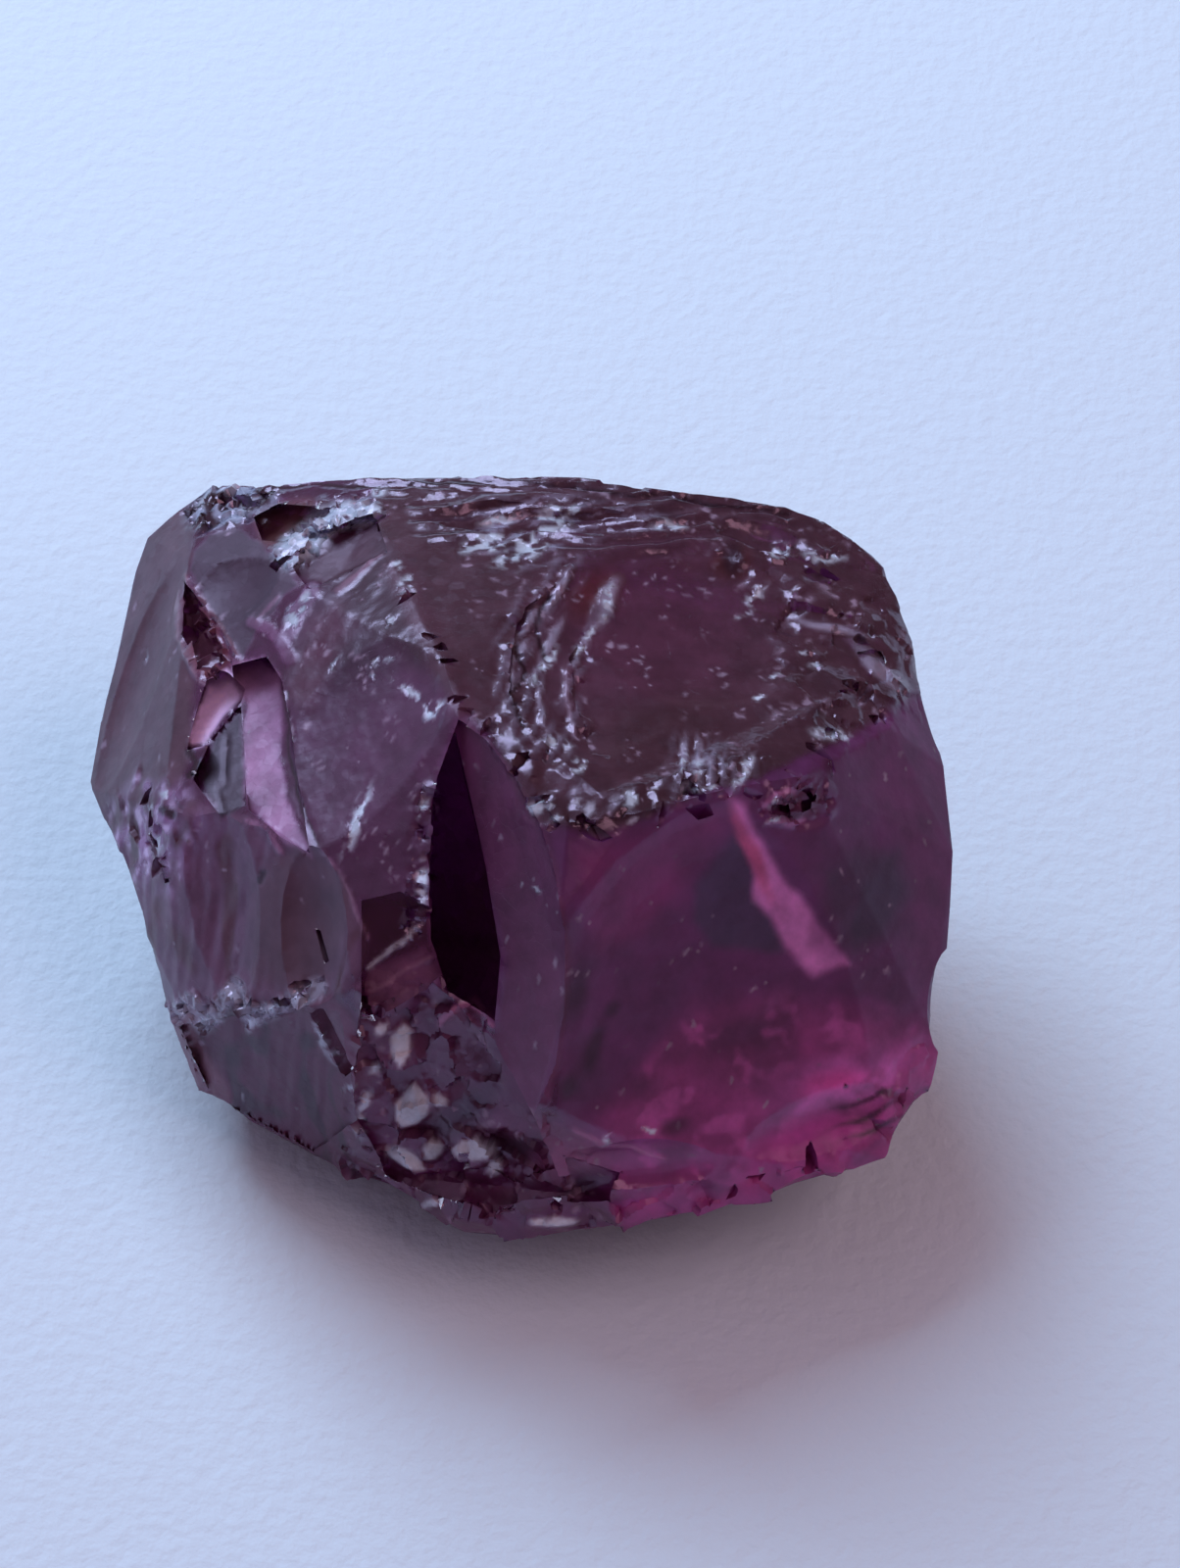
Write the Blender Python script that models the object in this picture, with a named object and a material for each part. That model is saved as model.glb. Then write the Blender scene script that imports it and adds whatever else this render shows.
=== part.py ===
"""A rough garnet: one broken crystal about 20 mm across, at rest on its flat underside.

Run it with:  blender --background --python part.py

The stone is one piece. A convex block gives its big faces, and then conchoidal scars,
pockets, bites and small chips are cut from it, as breaking took them from the stone.
Places on it are given in millimetres as they show from one side of it: how far across,
how far up and, where the third number isn't a depth, how high above the table.
"""

import math
import random

import bmesh
import bpy
from mathutils import Euler, Matrix, Vector
from mathutils.bvhtree import BVHTree

MM = 0.001

# The colour of the stone in thick places, and how it shines.
PLUM = (0.16, 0.03, 0.11, 1.0)
GLOSS_ROUGHNESS = 0.12
GARNET_IOR = 1.76

# The best side is seen from this far off, looking down.
BEST_TILT = 50.0
EYE_DISTANCE = 150.0
MIDDLE_OF_VIEW = (1.65, 3.0, 6.0)

# A cutter starts this far above the stone, so that it is open at the top.
CUTTER_HEADROOM = 1.5

# How many loose points give a small chip its corners.
CHIP_CORNERS = 11

# The outline of the best side, clockwise from the top left: across, up, height.
OUTLINE = [
    (-9.4, 6.5, 8.6),
    (-8.7, 6.95, 9.0),
    (-5.2, 7.05, 10.2),
    (-1.4, 7.15, 10.6),
    (2.0, 6.75, 10.5),
    (4.4, 6.45, 10.1),
    (5.4, 6.1, 9.8),
    (6.1, 5.65, 9.6),
    (6.65, 5.15, 9.5),
    (7.1, 4.35, 9.3),
    (7.35, 3.6, 9.2),
    (7.6, 2.2, 9.0),
    (8.2, 0.4, 8.4),
    (8.4, -1.6, 7.6),
    (8.15, -3.6, 6.5),
    (8.1, -6.2, 4.8),
    (7.7, -7.1, 4.3),
    (6.85, -8.65, 3.7),
    (5.6, -9.1, 3.6),
    (3.9, -9.62, 3.6),
    (1.5, -10.08, 3.4),
    (-1.4, -10.5, 2.5),
    (-2.9, -10.4, 2.1),
    (-4.2, -9.55, 1.5),
    (-6.3, -8.65, 1.1),
    (-7.9, -7.75, 1.0),
    (-9.05, -7.15, 1.6),
    (-9.65, -5.7, 3.0),
    (-10.5, -2.9, 4.4),
    (-11.4, -0.6, 5.3),
    (-11.6, -0.1, 5.6),
    (-11.25, 2.0, 6.3),
    (-10.85, 4.0, 7.0),
    (-10.25, 5.7, 7.9),
]

# The ridges inside that outline, where two big faces meet.
RIDGES = [
    (-3.0, 1.7, 12.7),
    (-3.4, 2.7, 12.6),
    (-4.6, 5.1, 11.6),
    (-0.5, -0.9, 12.3),
    (1.0, -0.7, 12.3),
    (3.2, -0.1, 12.1),
    (5.0, 0.2, 11.4),
    (7.0, 1.3, 10.0),
    (-0.7, -3.0, 11.0),
    (-1.0, -7.5, 7.4),
    (-6.9, 4.7, 10.8),
    (-7.0, 1.8, 10.6),
    (-6.4, -1.2, 10.4),
    (-9.3, 5.2, 9.4),
    (-9.5, 2.8, 9.2),
    (-9.9, -0.6, 8.2),
    (-9.5, -5.3, 4.6),
    (-7.6, -5.3, 6.6),
    (-5.4, -4.8, 8.6),
    (-3.8, -7.4, 6.0),
]

# The hidden corners behind and below the outline: x, y and height.
HIDDEN_CORNERS = [
    (-9.3, 4.4, 3.6),
    (-8.4, 7.8, 4.6),
    (-5.2, 9.3, 4.4),
    (1.4, 9.3, 5.4),
    (6.0, 7.9, 4.4),
    (8.7, 4.4, 4.8),
    (9.2, 0.2, 3.2),
    (7.9, -3.8, 2.4),
    (3.4, -6.3, 1.9),
]

# The corners of the flat underside that the stone rests on: x and y, at height 0.
UNDERSIDE = [
    (-6.5, -1.4),
    (-5.3, -2.3),
    (-2.6, -3.9),
    (1.8, -4.9),
    (5.4, -3.6),
    (6.9, 1.2),
    (5.2, 5.4),
    (-0.6, 7.0),
    (-5.4, 5.8),
    (-7.0, 2.2),
]

# Shallow round scars on the best side: across, up, length, width, depth, and the turn
# of the length from across, in degrees.
BEST_SCARS = [
    (3.5, -4.9, 9.7, 9.3, 0.3, 20),
    (2.9, 3.3, 9.2, 6.6, 0.45, 15),
    (5.6, 3.3, 3.0, 2.2, 0.25, -60),
    (3.2, 5.2, 1.0, 0.7, 0.1, 20),
    (-5.2, 1.2, 7.8, 4.2, 0.26, 82),
    (-10.4, 2.6, 7.6, 2.2, 0.16, 78),
    (-8.2, 4.6, 2.6, 2.2, 0.25, 40),
    (-8.6, -3.0, 5.0, 2.7, 0.3, 84),
    (-6.4, -3.35, 3.8, 2.15, 0.32, 80),
    (-7.6, -6.6, 3.6, 2.4, 0.3, 70),
    (-4.7, -7.0, 2.6, 1.6, 0.5, 70),
    (5.2, -7.9, 4.4, 1.8, 0.3, 12),
    (1.2, -8.8, 4.6, 1.6, 0.3, -4),
    (-1.6, 6.2, 7.0, 1.3, 0.3, -3),
    (4.2, 5.7, 3.0, 1.0, 0.25, -18),
]

# Pockets in the best side: the corners of each floor, as across, up, depth.
STRIP_AND_GROOVE = [
    (-3.05, 1.5, 0.2),
    (-3.6, 0.0, 0.7),
    (-3.75, -2.0, 0.9),
    (-3.7, -3.8, 1.1),
    (-3.2, -5.6, 1.1),
    (-2.4, -7.3, 0.8),
    (-1.3, -7.7, 0.25),
    (-0.8, -6.5, 0.05),
    (-0.55, -5.0, 0.05),
    (-0.6, -3.4, 0.05),
    (-0.8, -2.1, 0.05),
    (-1.1, -1.1, 0.05),
    (-1.6, -0.1, 0.05),
    (-2.4, 1.0, 0.1),
]
DARK_CLEFT = [
    (-3.12, 1.2, 0.6),
    (-3.6, 0.0, 2.6),
    (-3.72, -2.0, 3.8),
    (-3.7, -3.6, 4.4),
    (-3.3, -4.8, 4.2),
    (-2.2, -5.5, 3.2),
    (-2.05, -4.0, 4.0),
    (-2.4, -2.0, 3.6),
    (-2.9, 0.0, 2.4),
]
NOTCH_UNDER_MAUVE_FACE = [
    (-5.3, -2.7, 0.45),
    (-4.4, -2.5, 0.8),
    (-3.6, -2.9, 1.2),
    (-3.4, -4.4, 1.5),
    (-4.3, -5.2, 1.1),
    (-5.3, -5.3, 0.7),
    (-5.25, -3.9, 0.7),
]
BROKEN_CORNER = [
    (-5.3, -5.3, 0.4),
    (-3.6, -4.6, 1.3),
    (-2.2, -5.9, 1.3),
    (-1.4, -7.9, 0.9),
    (-0.4, -9.5, 0.5),
    (-2.6, -9.9, 0.25),
    (-4.7, -9.1, 0.25),
    (-5.5, -7.6, 0.4),
]
HOLLOW_IN_CORNER = [
    (-2.9, -7.9, 1.5),
    (-1.4, -7.9, 1.5),
    (-0.7, -8.9, 1.3),
    (-1.6, -9.2, 1.2),
    (-2.8, -8.8, 1.3),
]
HOLLOW_RIGHT_OF_CORNER = [
    (-0.6, -8.6, 0.6),
    (0.7, -9.0, 0.6),
    (0.5, -9.7, 0.4),
    (-0.5, -9.7, 0.4),
]
LEFT_PIT = [
    (-9.4, 4.7, 0.3),
    (-9.45, 3.4, 1.2),
    (-9.1, 2.6, 1.4),
    (-8.4, 2.75, 1.2),
    (-8.8, 3.7, 1.0),
    (-9.2, 4.5, 0.6),
]
PINK_FACET = [
    (-8.5, 2.7, 1.0),
    (-8.0, 2.2, 1.1),
    (-8.1, 1.9, 1.1),
    (-8.9, 0.9, 0.7),
    (-9.35, 0.8, 0.4),
    (-9.15, 1.6, 0.5),
    (-8.9, 2.4, 0.8),
]
PINK_GROOVE = [
    (-8.3, 2.75, 0.8),
    (-7.5, 2.95, 0.9),
    (-7.15, 2.4, 1.0),
    (-7.12, 0.8, 1.0),
    (-7.0, -0.3, 0.8),
    (-6.5, -1.6, 0.3),
    (-7.2, -1.2, 0.3),
    (-7.9, -0.6, 0.5),
    (-8.05, 0.5, 0.7),
    (-8.0, 1.8, 0.8),
]
GREY_GREEN_FACET = [
    (-8.1, 1.8, 1.2),
    (-8.0, 0.5, 0.9),
    (-8.0, -0.5, 0.5),
    (-8.6, -0.7, 0.3),
    (-9.2, 0.1, 0.4),
    (-8.8, 1.0, 0.8),
]
HOLLOW_AT_TOP_LEFT = [
    (-7.8, 6.2, 1.0),
    (-7.6, 5.65, 1.1),
    (-7.1, 5.6, 1.2),
    (-6.4, 6.0, 0.9),
    (-5.8, 6.4, 0.5),
    (-7.2, 6.5, 0.6),
]
SHELF_BEHIND_OVAL_FACET = [
    (-6.9, 5.0, 0.4),
    (-6.5, 5.8, 0.7),
    (-5.0, 6.3, 0.6),
    (-4.7, 5.4, 0.5),
    (-5.8, 4.9, 0.8),
    (-6.5, 4.5, 0.6),
]
STEP_BELOW_RIBS = [
    (-9.5, -5.6, 0.3),
    (-8.9, -5.5, 0.45),
    (-7.9, -5.6, 0.5),
    (-6.8, -5.1, 0.55),
    (-5.8, -5.3, 0.5),
    (-5.4, -7.8, 0.45),
    (-6.4, -8.5, 0.2),
    (-8.8, -7.2, 0.1),
]
SLIT_IN_RIBS = [
    (-6.45, -3.3, 0.3),
    (-6.25, -3.4, 0.7),
    (-6.05, -4.1, 0.6),
    (-6.2, -4.2, 0.3),
]
LOWER_SLIT = [
    (-6.45, -5.3, 0.8),
    (-6.2, -5.2, 1.1),
    (-5.5, -6.6, 1.0),
    (-5.7, -6.8, 0.7),
]
PIT_IN_WINDOW = [
    (4.8, -0.1, 0.2),
    (5.25, -0.25, 0.8),
    (5.15, -0.6, 0.7),
    (4.85, -0.65, 0.5),
]
SMALL_PIT_IN_WINDOW = [
    (4.2, -0.5, 0.3),
    (4.6, -0.45, 0.5),
    (4.7, -0.75, 0.4),
    (4.3, -0.8, 0.2),
]
UPPER_STEP_ON_TOP = [
    (-1.6, 1.4, 0.26),
    (-1.9, 2.1, 0.3),
    (-1.85, 3.2, 0.3),
    (-1.5, 4.1, 0.22),
    (-0.6, 4.8, 0.03),
    (2.0, 5.2, 0.02),
    (5.5, 4.0, 0.02),
    (5.8, 2.2, 0.02),
    (3.2, 0.5, 0.02),
    (0.2, -0.2, 0.04),
]
LOWER_STEP_ON_TOP = [
    (0.0, 0.7, 0.45),
    (-0.4, 2.0, 0.55),
    (-0.5, 2.9, 0.55),
    (0.0, 3.7, 0.4),
    (0.6, 4.4, 0.05),
    (2.6, 4.6, 0.02),
    (4.6, 3.8, 0.04),
    (4.8, 2.2, 0.04),
    (2.6, 0.9, 0.1),
    (1.0, 0.5, 0.25),
]
BEST_POCKETS = [
    STRIP_AND_GROOVE,
    DARK_CLEFT,
    NOTCH_UNDER_MAUVE_FACE,
    BROKEN_CORNER,
    HOLLOW_IN_CORNER,
    HOLLOW_RIGHT_OF_CORNER,
    LEFT_PIT,
    PINK_FACET,
    PINK_GROOVE,
    GREY_GREEN_FACET,
    HOLLOW_AT_TOP_LEFT,
    SHELF_BEHIND_OVAL_FACET,
    STEP_BELOW_RIBS,
    SLIT_IN_RIBS,
    LOWER_SLIT,
    PIT_IN_WINDOW,
    SMALL_PIT_IN_WINDOW,
    UPPER_STEP_ON_TOP,
    LOWER_STEP_ON_TOP,
]

# Bites out of the outline of the best side: across, up, height, length, width, depth,
# and the way that the outline faces there, in degrees from across.
BITES = [
    (-10.65, -3.0, 4.2, 5.4, 5.0, 0.42, 199),
    (8.12, -5.0, 5.4, 2.3, 3.2, 0.34, -4),
    (7.35, -7.85, 4.0, 1.9, 2.4, 0.2, -30),
    (5.1, -9.32, 3.6, 2.4, 2.0, 0.26, -72),
    (-4.4, -9.62, 1.6, 2.6, 2.4, 0.3, -120),
    (-8.3, -7.5, 1.3, 1.6, 2.0, 0.1, -120),
    (7.8, 1.9, 8.8, 2.4, 3.0, 0.1, 12),
    (-7.5, 7.0, 9.4, 1.8, 1.4, 0.14, 92),
]

# Edges that are nibbled by small chips: corners as across and up, the usual size of a
# chip, and how many there are.
CHIPPED_EDGES = [
    ([(-0.9, -1.0), (1.0, -0.65), (3.3, -0.05), (5.0, 0.55), (7.2, 1.9)], 0.42, 15),
    ([(-2.9, 1.6), (-2.0, 0.8), (-1.3, -0.5)], 0.36, 4),
    ([(-3.0, 2.0), (-3.6, 3.3), (-4.4, 4.8)], 0.36, 6),
    ([(-3.75, -0.3), (-3.85, -2.3), (-3.9, -3.5)], 0.34, 5),
    ([(-5.2, -5.4), (-5.2, -7.4), (-4.6, -8.9)], 0.55, 8),
    ([(-3.9, -5.9), (-3.0, -6.7), (-2.6, -7.7)], 0.6, 6),
    ([(-4.0, -9.3), (-2.4, -9.8), (-0.4, -9.9)], 0.45, 7),
    ([(-9.1, 6.3), (-8.4, 6.5), (-7.8, 6.4)], 0.42, 5),
    ([(-7.0, 5.2), (-6.2, 5.9), (-5.0, 6.3)], 0.42, 5),
    ([(-9.5, -5.3), (-8.0, -5.2), (-6.4, -4.8)], 0.38, 6),
    ([(-10.1, -0.2), (-10.3, -1.4), (-9.9, -2.4)], 0.42, 6),
    ([(4.5, 5.4), (5.6, 4.8), (6.4, 3.2), (5.9, 1.6)], 0.34, 9),
    ([(2.0, -9.5), (4.4, -9.1), (6.4, -8.4), (7.2, -7.2)], 0.42, 8),
]

# Scars on the sides that are turned away: a name for the side, its turn and tilt in
# degrees, and its scars as across, up, length, width, depth, turn.
HIDDEN_SIDES = [
    ("back", 180.0, 15.0, [(-3.4, -0.4, 9.6, 6.4, 0.5, 14), (5.4, -0.2, 8.2, 6.0, 0.45, 28)]),
    ("back, low", 180.0, -30.0, [(1.4, -2.4, 11.0, 5.6, 0.5, -10), (-6.0, -2.6, 6.2, 4.2, 0.4, 30)]),
    ("right", 90.0, 5.0, [(-2.4, -1.9, 7.4, 4.8, 0.4, 12), (4.2, -0.6, 6.8, 5.0, 0.4, 165)]),
    ("right, low", 80.0, -35.0, [(-2.8, -2.6, 6.8, 3.6, 0.35, 5), (3.6, -3.2, 6.4, 3.8, 0.35, 20)]),
    ("left", -90.0, 5.0, [(-4.8, -1.6, 7.6, 5.2, 0.4, 20), (1.2, -2.9, 7.0, 4.2, 0.35, 10)]),
    ("front, low", 5.0, -30.0, [(1.8, -2.9, 9.6, 3.4, 0.35, 4)]),
]


class Side:
    """One side of the stone, looked at from a long way off through a millimetre grid."""

    def __init__(self, turn, tilt):
        """turn is in degrees round the stone from its front, tilt in degrees above level."""
        turn, tilt = math.radians(turn), math.radians(tilt)
        self.middle = Vector(MIDDLE_OF_VIEW)
        self.to_eye = Vector(
            (
                math.sin(turn) * math.cos(tilt),
                -math.cos(turn) * math.cos(tilt),
                math.sin(tilt),
            )
        )
        self.right = Vector((math.cos(turn), math.sin(turn), 0.0))
        self.up = self.to_eye.cross(self.right)
        self.eye = self.middle + self.to_eye * EYE_DISTANCE

    def sight_line(self, across, up):
        on_grid = self.middle + self.right * across + self.up * up
        return (on_grid - self.eye).normalized()

    def at_height(self, across, up, height):
        """The point that shows at (across, up) and lies that high above the table."""
        sight = self.sight_line(across, up)
        return self.eye + sight * ((height - self.eye.z) / sight.z)

    def on_stone(self, tree, across, up):
        """Where the stone shows at (across, up), and the way its face points there."""
        place, normal, _, _ = tree.ray_cast(self.eye, self.sight_line(across, up))
        if place is None:
            raise ValueError(f"no stone shows at {across}, {up}")
        return place, normal


BEST = Side(0.0, BEST_TILT)


def add_object(name, shape):
    """Turns a bmesh in millimetres into a new object in metres."""
    mesh = bpy.data.meshes.new(name)
    shape.to_mesh(mesh)
    shape.free()
    mesh.transform(Matrix.Scale(MM, 4))
    added = bpy.data.objects.new(name, mesh)
    bpy.context.scene.collection.objects.link(added)
    return added


def hull_of(points):
    """The smallest convex solid round the points."""
    shape = bmesh.new()
    corners = [shape.verts.new(point) for point in points]
    hull = bmesh.ops.convex_hull(shape, input=corners)
    spare = set(hull["geom_interior"]) | set(hull["geom_unused"])
    spare = [item for item in spare if isinstance(item, bmesh.types.BMVert)]
    bmesh.ops.delete(shape, geom=spare, context="VERTS")
    bmesh.ops.recalc_face_normals(shape, faces=shape.faces)
    return shape


def block():
    """The stone before the scars: the hull of all its named corners."""
    corners = [BEST.at_height(*spot) for spot in OUTLINE + RIDGES]
    corners += [Vector(corner) for corner in HIDDEN_CORNERS]
    corners += [Vector((x, y, 0.0)) for x, y in UNDERSIDE]
    return hull_of(corners)


def bowl(place, outwards, along, length, width, depth):
    """An ellipsoid that leaves a bowl with rings, like a conchoidal fracture.

    Half of it would stand too proud, so its middle is one depth above the surface and
    its lowest point one depth below, where it is cos 30 degrees as wide as at its middle.
    """
    sideways = outwards.cross(along)
    axes = Matrix((along, sideways, outwards)).transposed().to_4x4()
    reach = 0.5 / math.cos(math.radians(30))
    sizes = Matrix.Diagonal((length * reach, width * reach, 2 * depth, 1.0))
    matrix = Matrix.Translation(place + outwards * depth) @ axes @ sizes
    shape = bmesh.new()
    bmesh.ops.create_uvsphere(shape, u_segments=18, v_segments=14, radius=1.0, matrix=matrix)
    bmesh.ops.recalc_face_normals(shape, faces=shape.faces)
    return shape


def scar(side, tree, across, up, length, width, depth, turn):
    """A bowl in a face, its length turned that many degrees from across."""
    place, normal = side.on_stone(tree, across, up)
    turn = math.radians(turn)
    along = side.right * math.cos(turn) + side.up * math.sin(turn)
    along = (along - normal * along.dot(normal)).normalized()
    return bowl(place, normal, along, length, width, depth)


def pocket(side, tree, floor):
    """A hull that reaches each corner of a pocket's floor and is open towards the eye."""
    points = []
    for across, up, depth in floor:
        place, _ = side.on_stone(tree, across, up)
        sight = side.sight_line(across, up)
        points += [place + sight * depth, place - sight * CUTTER_HEADROOM]
    return hull_of(points)


def bite(across, up, height, length, width, depth, facing):
    """A bowl in the outline: its length runs along the outline, its width away from the eye."""
    facing = math.radians(facing)
    outwards = BEST.right * math.cos(facing) + BEST.up * math.sin(facing)
    along = BEST.to_eye.cross(outwards)
    return bowl(BEST.at_height(across, up, height), outwards, along, length, width, depth)


def chips_along(tree, path, size, count, dice):
    """Small sharp chips along an edge: hulls of a few loose points, each turned its own way."""
    corners = [Vector(corner) for corner in path]
    for step in range(count):
        along = (step + dice.uniform(0.0, 1.0)) / count * (len(corners) - 1)
        start = min(int(along), len(corners) - 2)
        spot = corners[start].lerp(corners[start + 1], along - start)
        spread = 0.5 * size
        across = spot.x + dice.uniform(-spread, spread)
        up = spot.y + dice.uniform(-spread, spread)
        place, normal = BEST.on_stone(tree, across, up)
        reach = size * dice.uniform(0.5, 1.5)
        turned = Euler([dice.uniform(0.0, 3.0) for _ in range(3)]).to_matrix()
        middle = place + normal * reach * 0.25
        points = []
        for _ in range(CHIP_CORNERS):
            point = Vector([dice.gauss(0.0, 1.0) for _ in range(3)]).normalized()
            point = turned @ Vector((point.x * 1.4, point.y * 0.9, point.z * 0.55))
            points.append(middle + point * reach)
        yield hull_of(points)


def all_cutters(tree):
    """Every cutter, from the big scars to the smallest chips."""
    for spot in BEST_SCARS:
        yield scar(BEST, tree, *spot)
    for _, turn, tilt, scars in HIDDEN_SIDES:
        side = Side(turn, tilt)
        for spot in scars:
            yield scar(side, tree, *spot)
    for floor in BEST_POCKETS:
        yield pocket(BEST, tree, floor)
    for spot in BITES:
        yield bite(*spot)
    dice = random.Random(7)
    for path, size, count in CHIPPED_EDGES:
        yield from chips_along(tree, path, size, count, dice)


def cut(stone, shapes):
    """Takes the shapes away from the stone, one after the other."""
    for number, shape in enumerate(shapes):
        cutter = add_object(f"cutter_{number:03d}", shape)
        cutter.hide_render = True
        cutter.display_type = "WIRE"
        modifier = stone.modifiers.new(cutter.name, "BOOLEAN")
        modifier.operation = "DIFFERENCE"
        modifier.solver = "EXACT"
        modifier.object = cutter


def stand_on_origin(stone):
    """Puts the stone and its cutters on an empty that brings the stone's box over the origin."""
    place = bpy.data.objects.new("place", None)
    bpy.context.scene.collection.objects.link(place)
    for piece in [stone] + [modifier.object for modifier in stone.modifiers]:
        piece.parent = place
    graph = bpy.context.evaluated_depsgraph_get()
    corners = [Vector(corner) for corner in stone.evaluated_get(graph).bound_box]
    lowest = Vector([min(corner[axis] for corner in corners) for axis in range(3)])
    highest = Vector([max(corner[axis] for corner in corners) for axis in range(3)])
    middle = (lowest + highest) / 2
    place.location = (-middle.x, -middle.y, -lowest.z)
    print("middle of the stone before it was placed, mm:", middle / MM)


def garnet_material():
    """Clear purple-red stone, dark where it is thick."""
    material = bpy.data.materials.new("garnet")
    material.use_nodes = True
    shader = material.node_tree.nodes["Principled BSDF"]
    shader.inputs["Base Color"].default_value = PLUM
    shader.inputs["Roughness"].default_value = GLOSS_ROUGHNESS
    shader.inputs["Metallic"].default_value = 0.0
    shader.inputs["IOR"].default_value = GARNET_IOR
    material.diffuse_color = PLUM
    return material


def main():
    for old in list(bpy.data.objects):
        bpy.data.objects.remove(old)
    whole = block()
    tree = BVHTree.FromBMesh(whole)
    stone = add_object("garnet", whole)
    stone.data.materials.append(garnet_material())
    cut(stone, all_cutters(tree))
    stand_on_origin(stone)


main()
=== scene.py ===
# %% [markdown]
# # A rough garnet
#
# The object is one broken crystal of garnet, about 20 mm across: a dark plum stone that
# lets magenta light through where it is thin. The CAD model already has its big faces,
# its scars, its open cleft and its chipped edges. This script gives it the skin of the
# real stone: ribs, tiny broken facets, bruises, clear and cloudy places, and gloss. It
# also paints glints, sheen, a glow at the thin edges and the shade in cracks into the colour.
# The imported model is the fixed frame for everything here.

import math

import bmesh
import bpy
import numpy as np
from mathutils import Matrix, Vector, noise
from mathutils.kdtree import KDTree


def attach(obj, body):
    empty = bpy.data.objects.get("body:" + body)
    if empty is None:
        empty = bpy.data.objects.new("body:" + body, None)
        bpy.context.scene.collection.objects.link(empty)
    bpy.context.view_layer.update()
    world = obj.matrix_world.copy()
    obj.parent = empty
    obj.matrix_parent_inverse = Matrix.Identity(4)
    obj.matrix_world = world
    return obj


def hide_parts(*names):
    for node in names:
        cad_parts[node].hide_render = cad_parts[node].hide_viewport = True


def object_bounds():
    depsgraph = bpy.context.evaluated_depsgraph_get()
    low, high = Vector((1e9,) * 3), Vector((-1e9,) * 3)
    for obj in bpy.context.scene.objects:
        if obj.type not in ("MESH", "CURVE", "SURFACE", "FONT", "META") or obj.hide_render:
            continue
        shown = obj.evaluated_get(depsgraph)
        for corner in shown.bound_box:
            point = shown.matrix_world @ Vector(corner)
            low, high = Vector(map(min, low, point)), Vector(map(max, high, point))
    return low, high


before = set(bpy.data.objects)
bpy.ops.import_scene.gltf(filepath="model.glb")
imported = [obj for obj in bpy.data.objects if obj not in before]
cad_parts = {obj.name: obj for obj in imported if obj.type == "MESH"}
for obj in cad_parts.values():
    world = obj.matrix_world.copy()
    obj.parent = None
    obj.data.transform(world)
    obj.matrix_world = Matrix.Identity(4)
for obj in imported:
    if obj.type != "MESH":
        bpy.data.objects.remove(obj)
cad_box = [list(corner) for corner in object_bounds()]
print("CAD box, m:", cad_box)

# %% [markdown]
# ## The place of the camera
#
# The photograph looks down at the stone at 50 degrees, from about 15 cm away. All places
# on the best side are given as they show in that view, as millimetres across and up from
# the middle of the picture. That is how a mineral is described under a lens with a grid
# in it, and it keeps each mark where the photograph has it.

# %% The view that places are given in
MM = 0.001
LOOK_DOWN = math.radians(50.0)
EYE_DISTANCE = 150.0
PICTURE_HEIGHT = 36.36
MIDDLE_OF_VIEW = np.array((1.702, 1.947, 6.0))

TO_EYE = np.array((0.0, -math.cos(LOOK_DOWN), math.sin(LOOK_DOWN)))
RIGHT = np.array((1.0, 0.0, 0.0))
UP = np.cross(TO_EYE, RIGHT)
EYE = MIDDLE_OF_VIEW + TO_EYE * EYE_DISTANCE


def on_grid(places):
    """How far across and up each place shows, in mm at the middle of the view."""
    from_eye = places - EYE
    zoom = EYE_DISTANCE / -(from_eye @ TO_EYE)
    return from_eye @ RIGHT * zoom, from_eye @ UP * zoom


print("place of the eye, mm:", EYE.round(1))

# %% [markdown]
# ## The camera
#
# Blender takes a focal length in mm for a sensor of a given size, as a real camera does.
# A long lens from far off would flatten the stone, and a short one from near by would
# swell its front edge. So the focal length is worked out from how far the eye is and how
# much the picture takes in, and the two always agree.

# %% The camera
SENSOR = 36.0
NEAREST_SEEN = 0.005

lens = bpy.data.cameras.new("camera")
lens.sensor_width = SENSOR
lens.lens = SENSOR * EYE_DISTANCE / PICTURE_HEIGHT
lens.clip_start = NEAREST_SEEN
camera = bpy.data.objects.new("camera", lens)
bpy.context.scene.collection.objects.link(camera)
bpy.context.scene.camera = camera
camera.location = Vector(EYE) * MM
camera.rotation_euler = Vector(TO_EYE).to_track_quat("Z", "Y").to_euler()
print("focal length, mm:", round(lens.lens, 1))

# %% [markdown]
# ## A fine skin for the stone
#
# A broken surface needs points close together, and a CAD mesh has them only at its
# corners. Cutting its long triangles in pieces would leave slivers. A Remesh modifier in
# its Sharp mode lays an even net over the solid instead and keeps the crisp edges, which
# the Voxel mode would round off. The CAD mesh is loose triangles, so the script works on
# a copy whose doubles are merged.

# %% How fine the net is
STONE_WIDTH = round((cad_box[1][0] - cad_box[0][0]) / MM, 2)
NET_DEPTH = 8
NET_SCALE = 0.9
NET_STEP = STONE_WIDTH / NET_SCALE / 2**NET_DEPTH
MERGE_DISTANCE = 1e-7
print("width of the stone and step of the net, mm:", STONE_WIDTH, round(NET_STEP, 3))

# %% Lay an even net over a copy of the CAD stone


def merged_copy(node, name):
    """A copy of a CAD node in which the loose triangles share their corners."""
    shape = bmesh.new()
    shape.from_mesh(node.data)
    bmesh.ops.remove_doubles(shape, verts=shape.verts, dist=MERGE_DISTANCE)
    mesh = bpy.data.meshes.new(name)
    shape.to_mesh(mesh)
    shape.free()
    copy = bpy.data.objects.new(name, mesh)
    bpy.context.scene.collection.objects.link(copy)
    return copy


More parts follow.
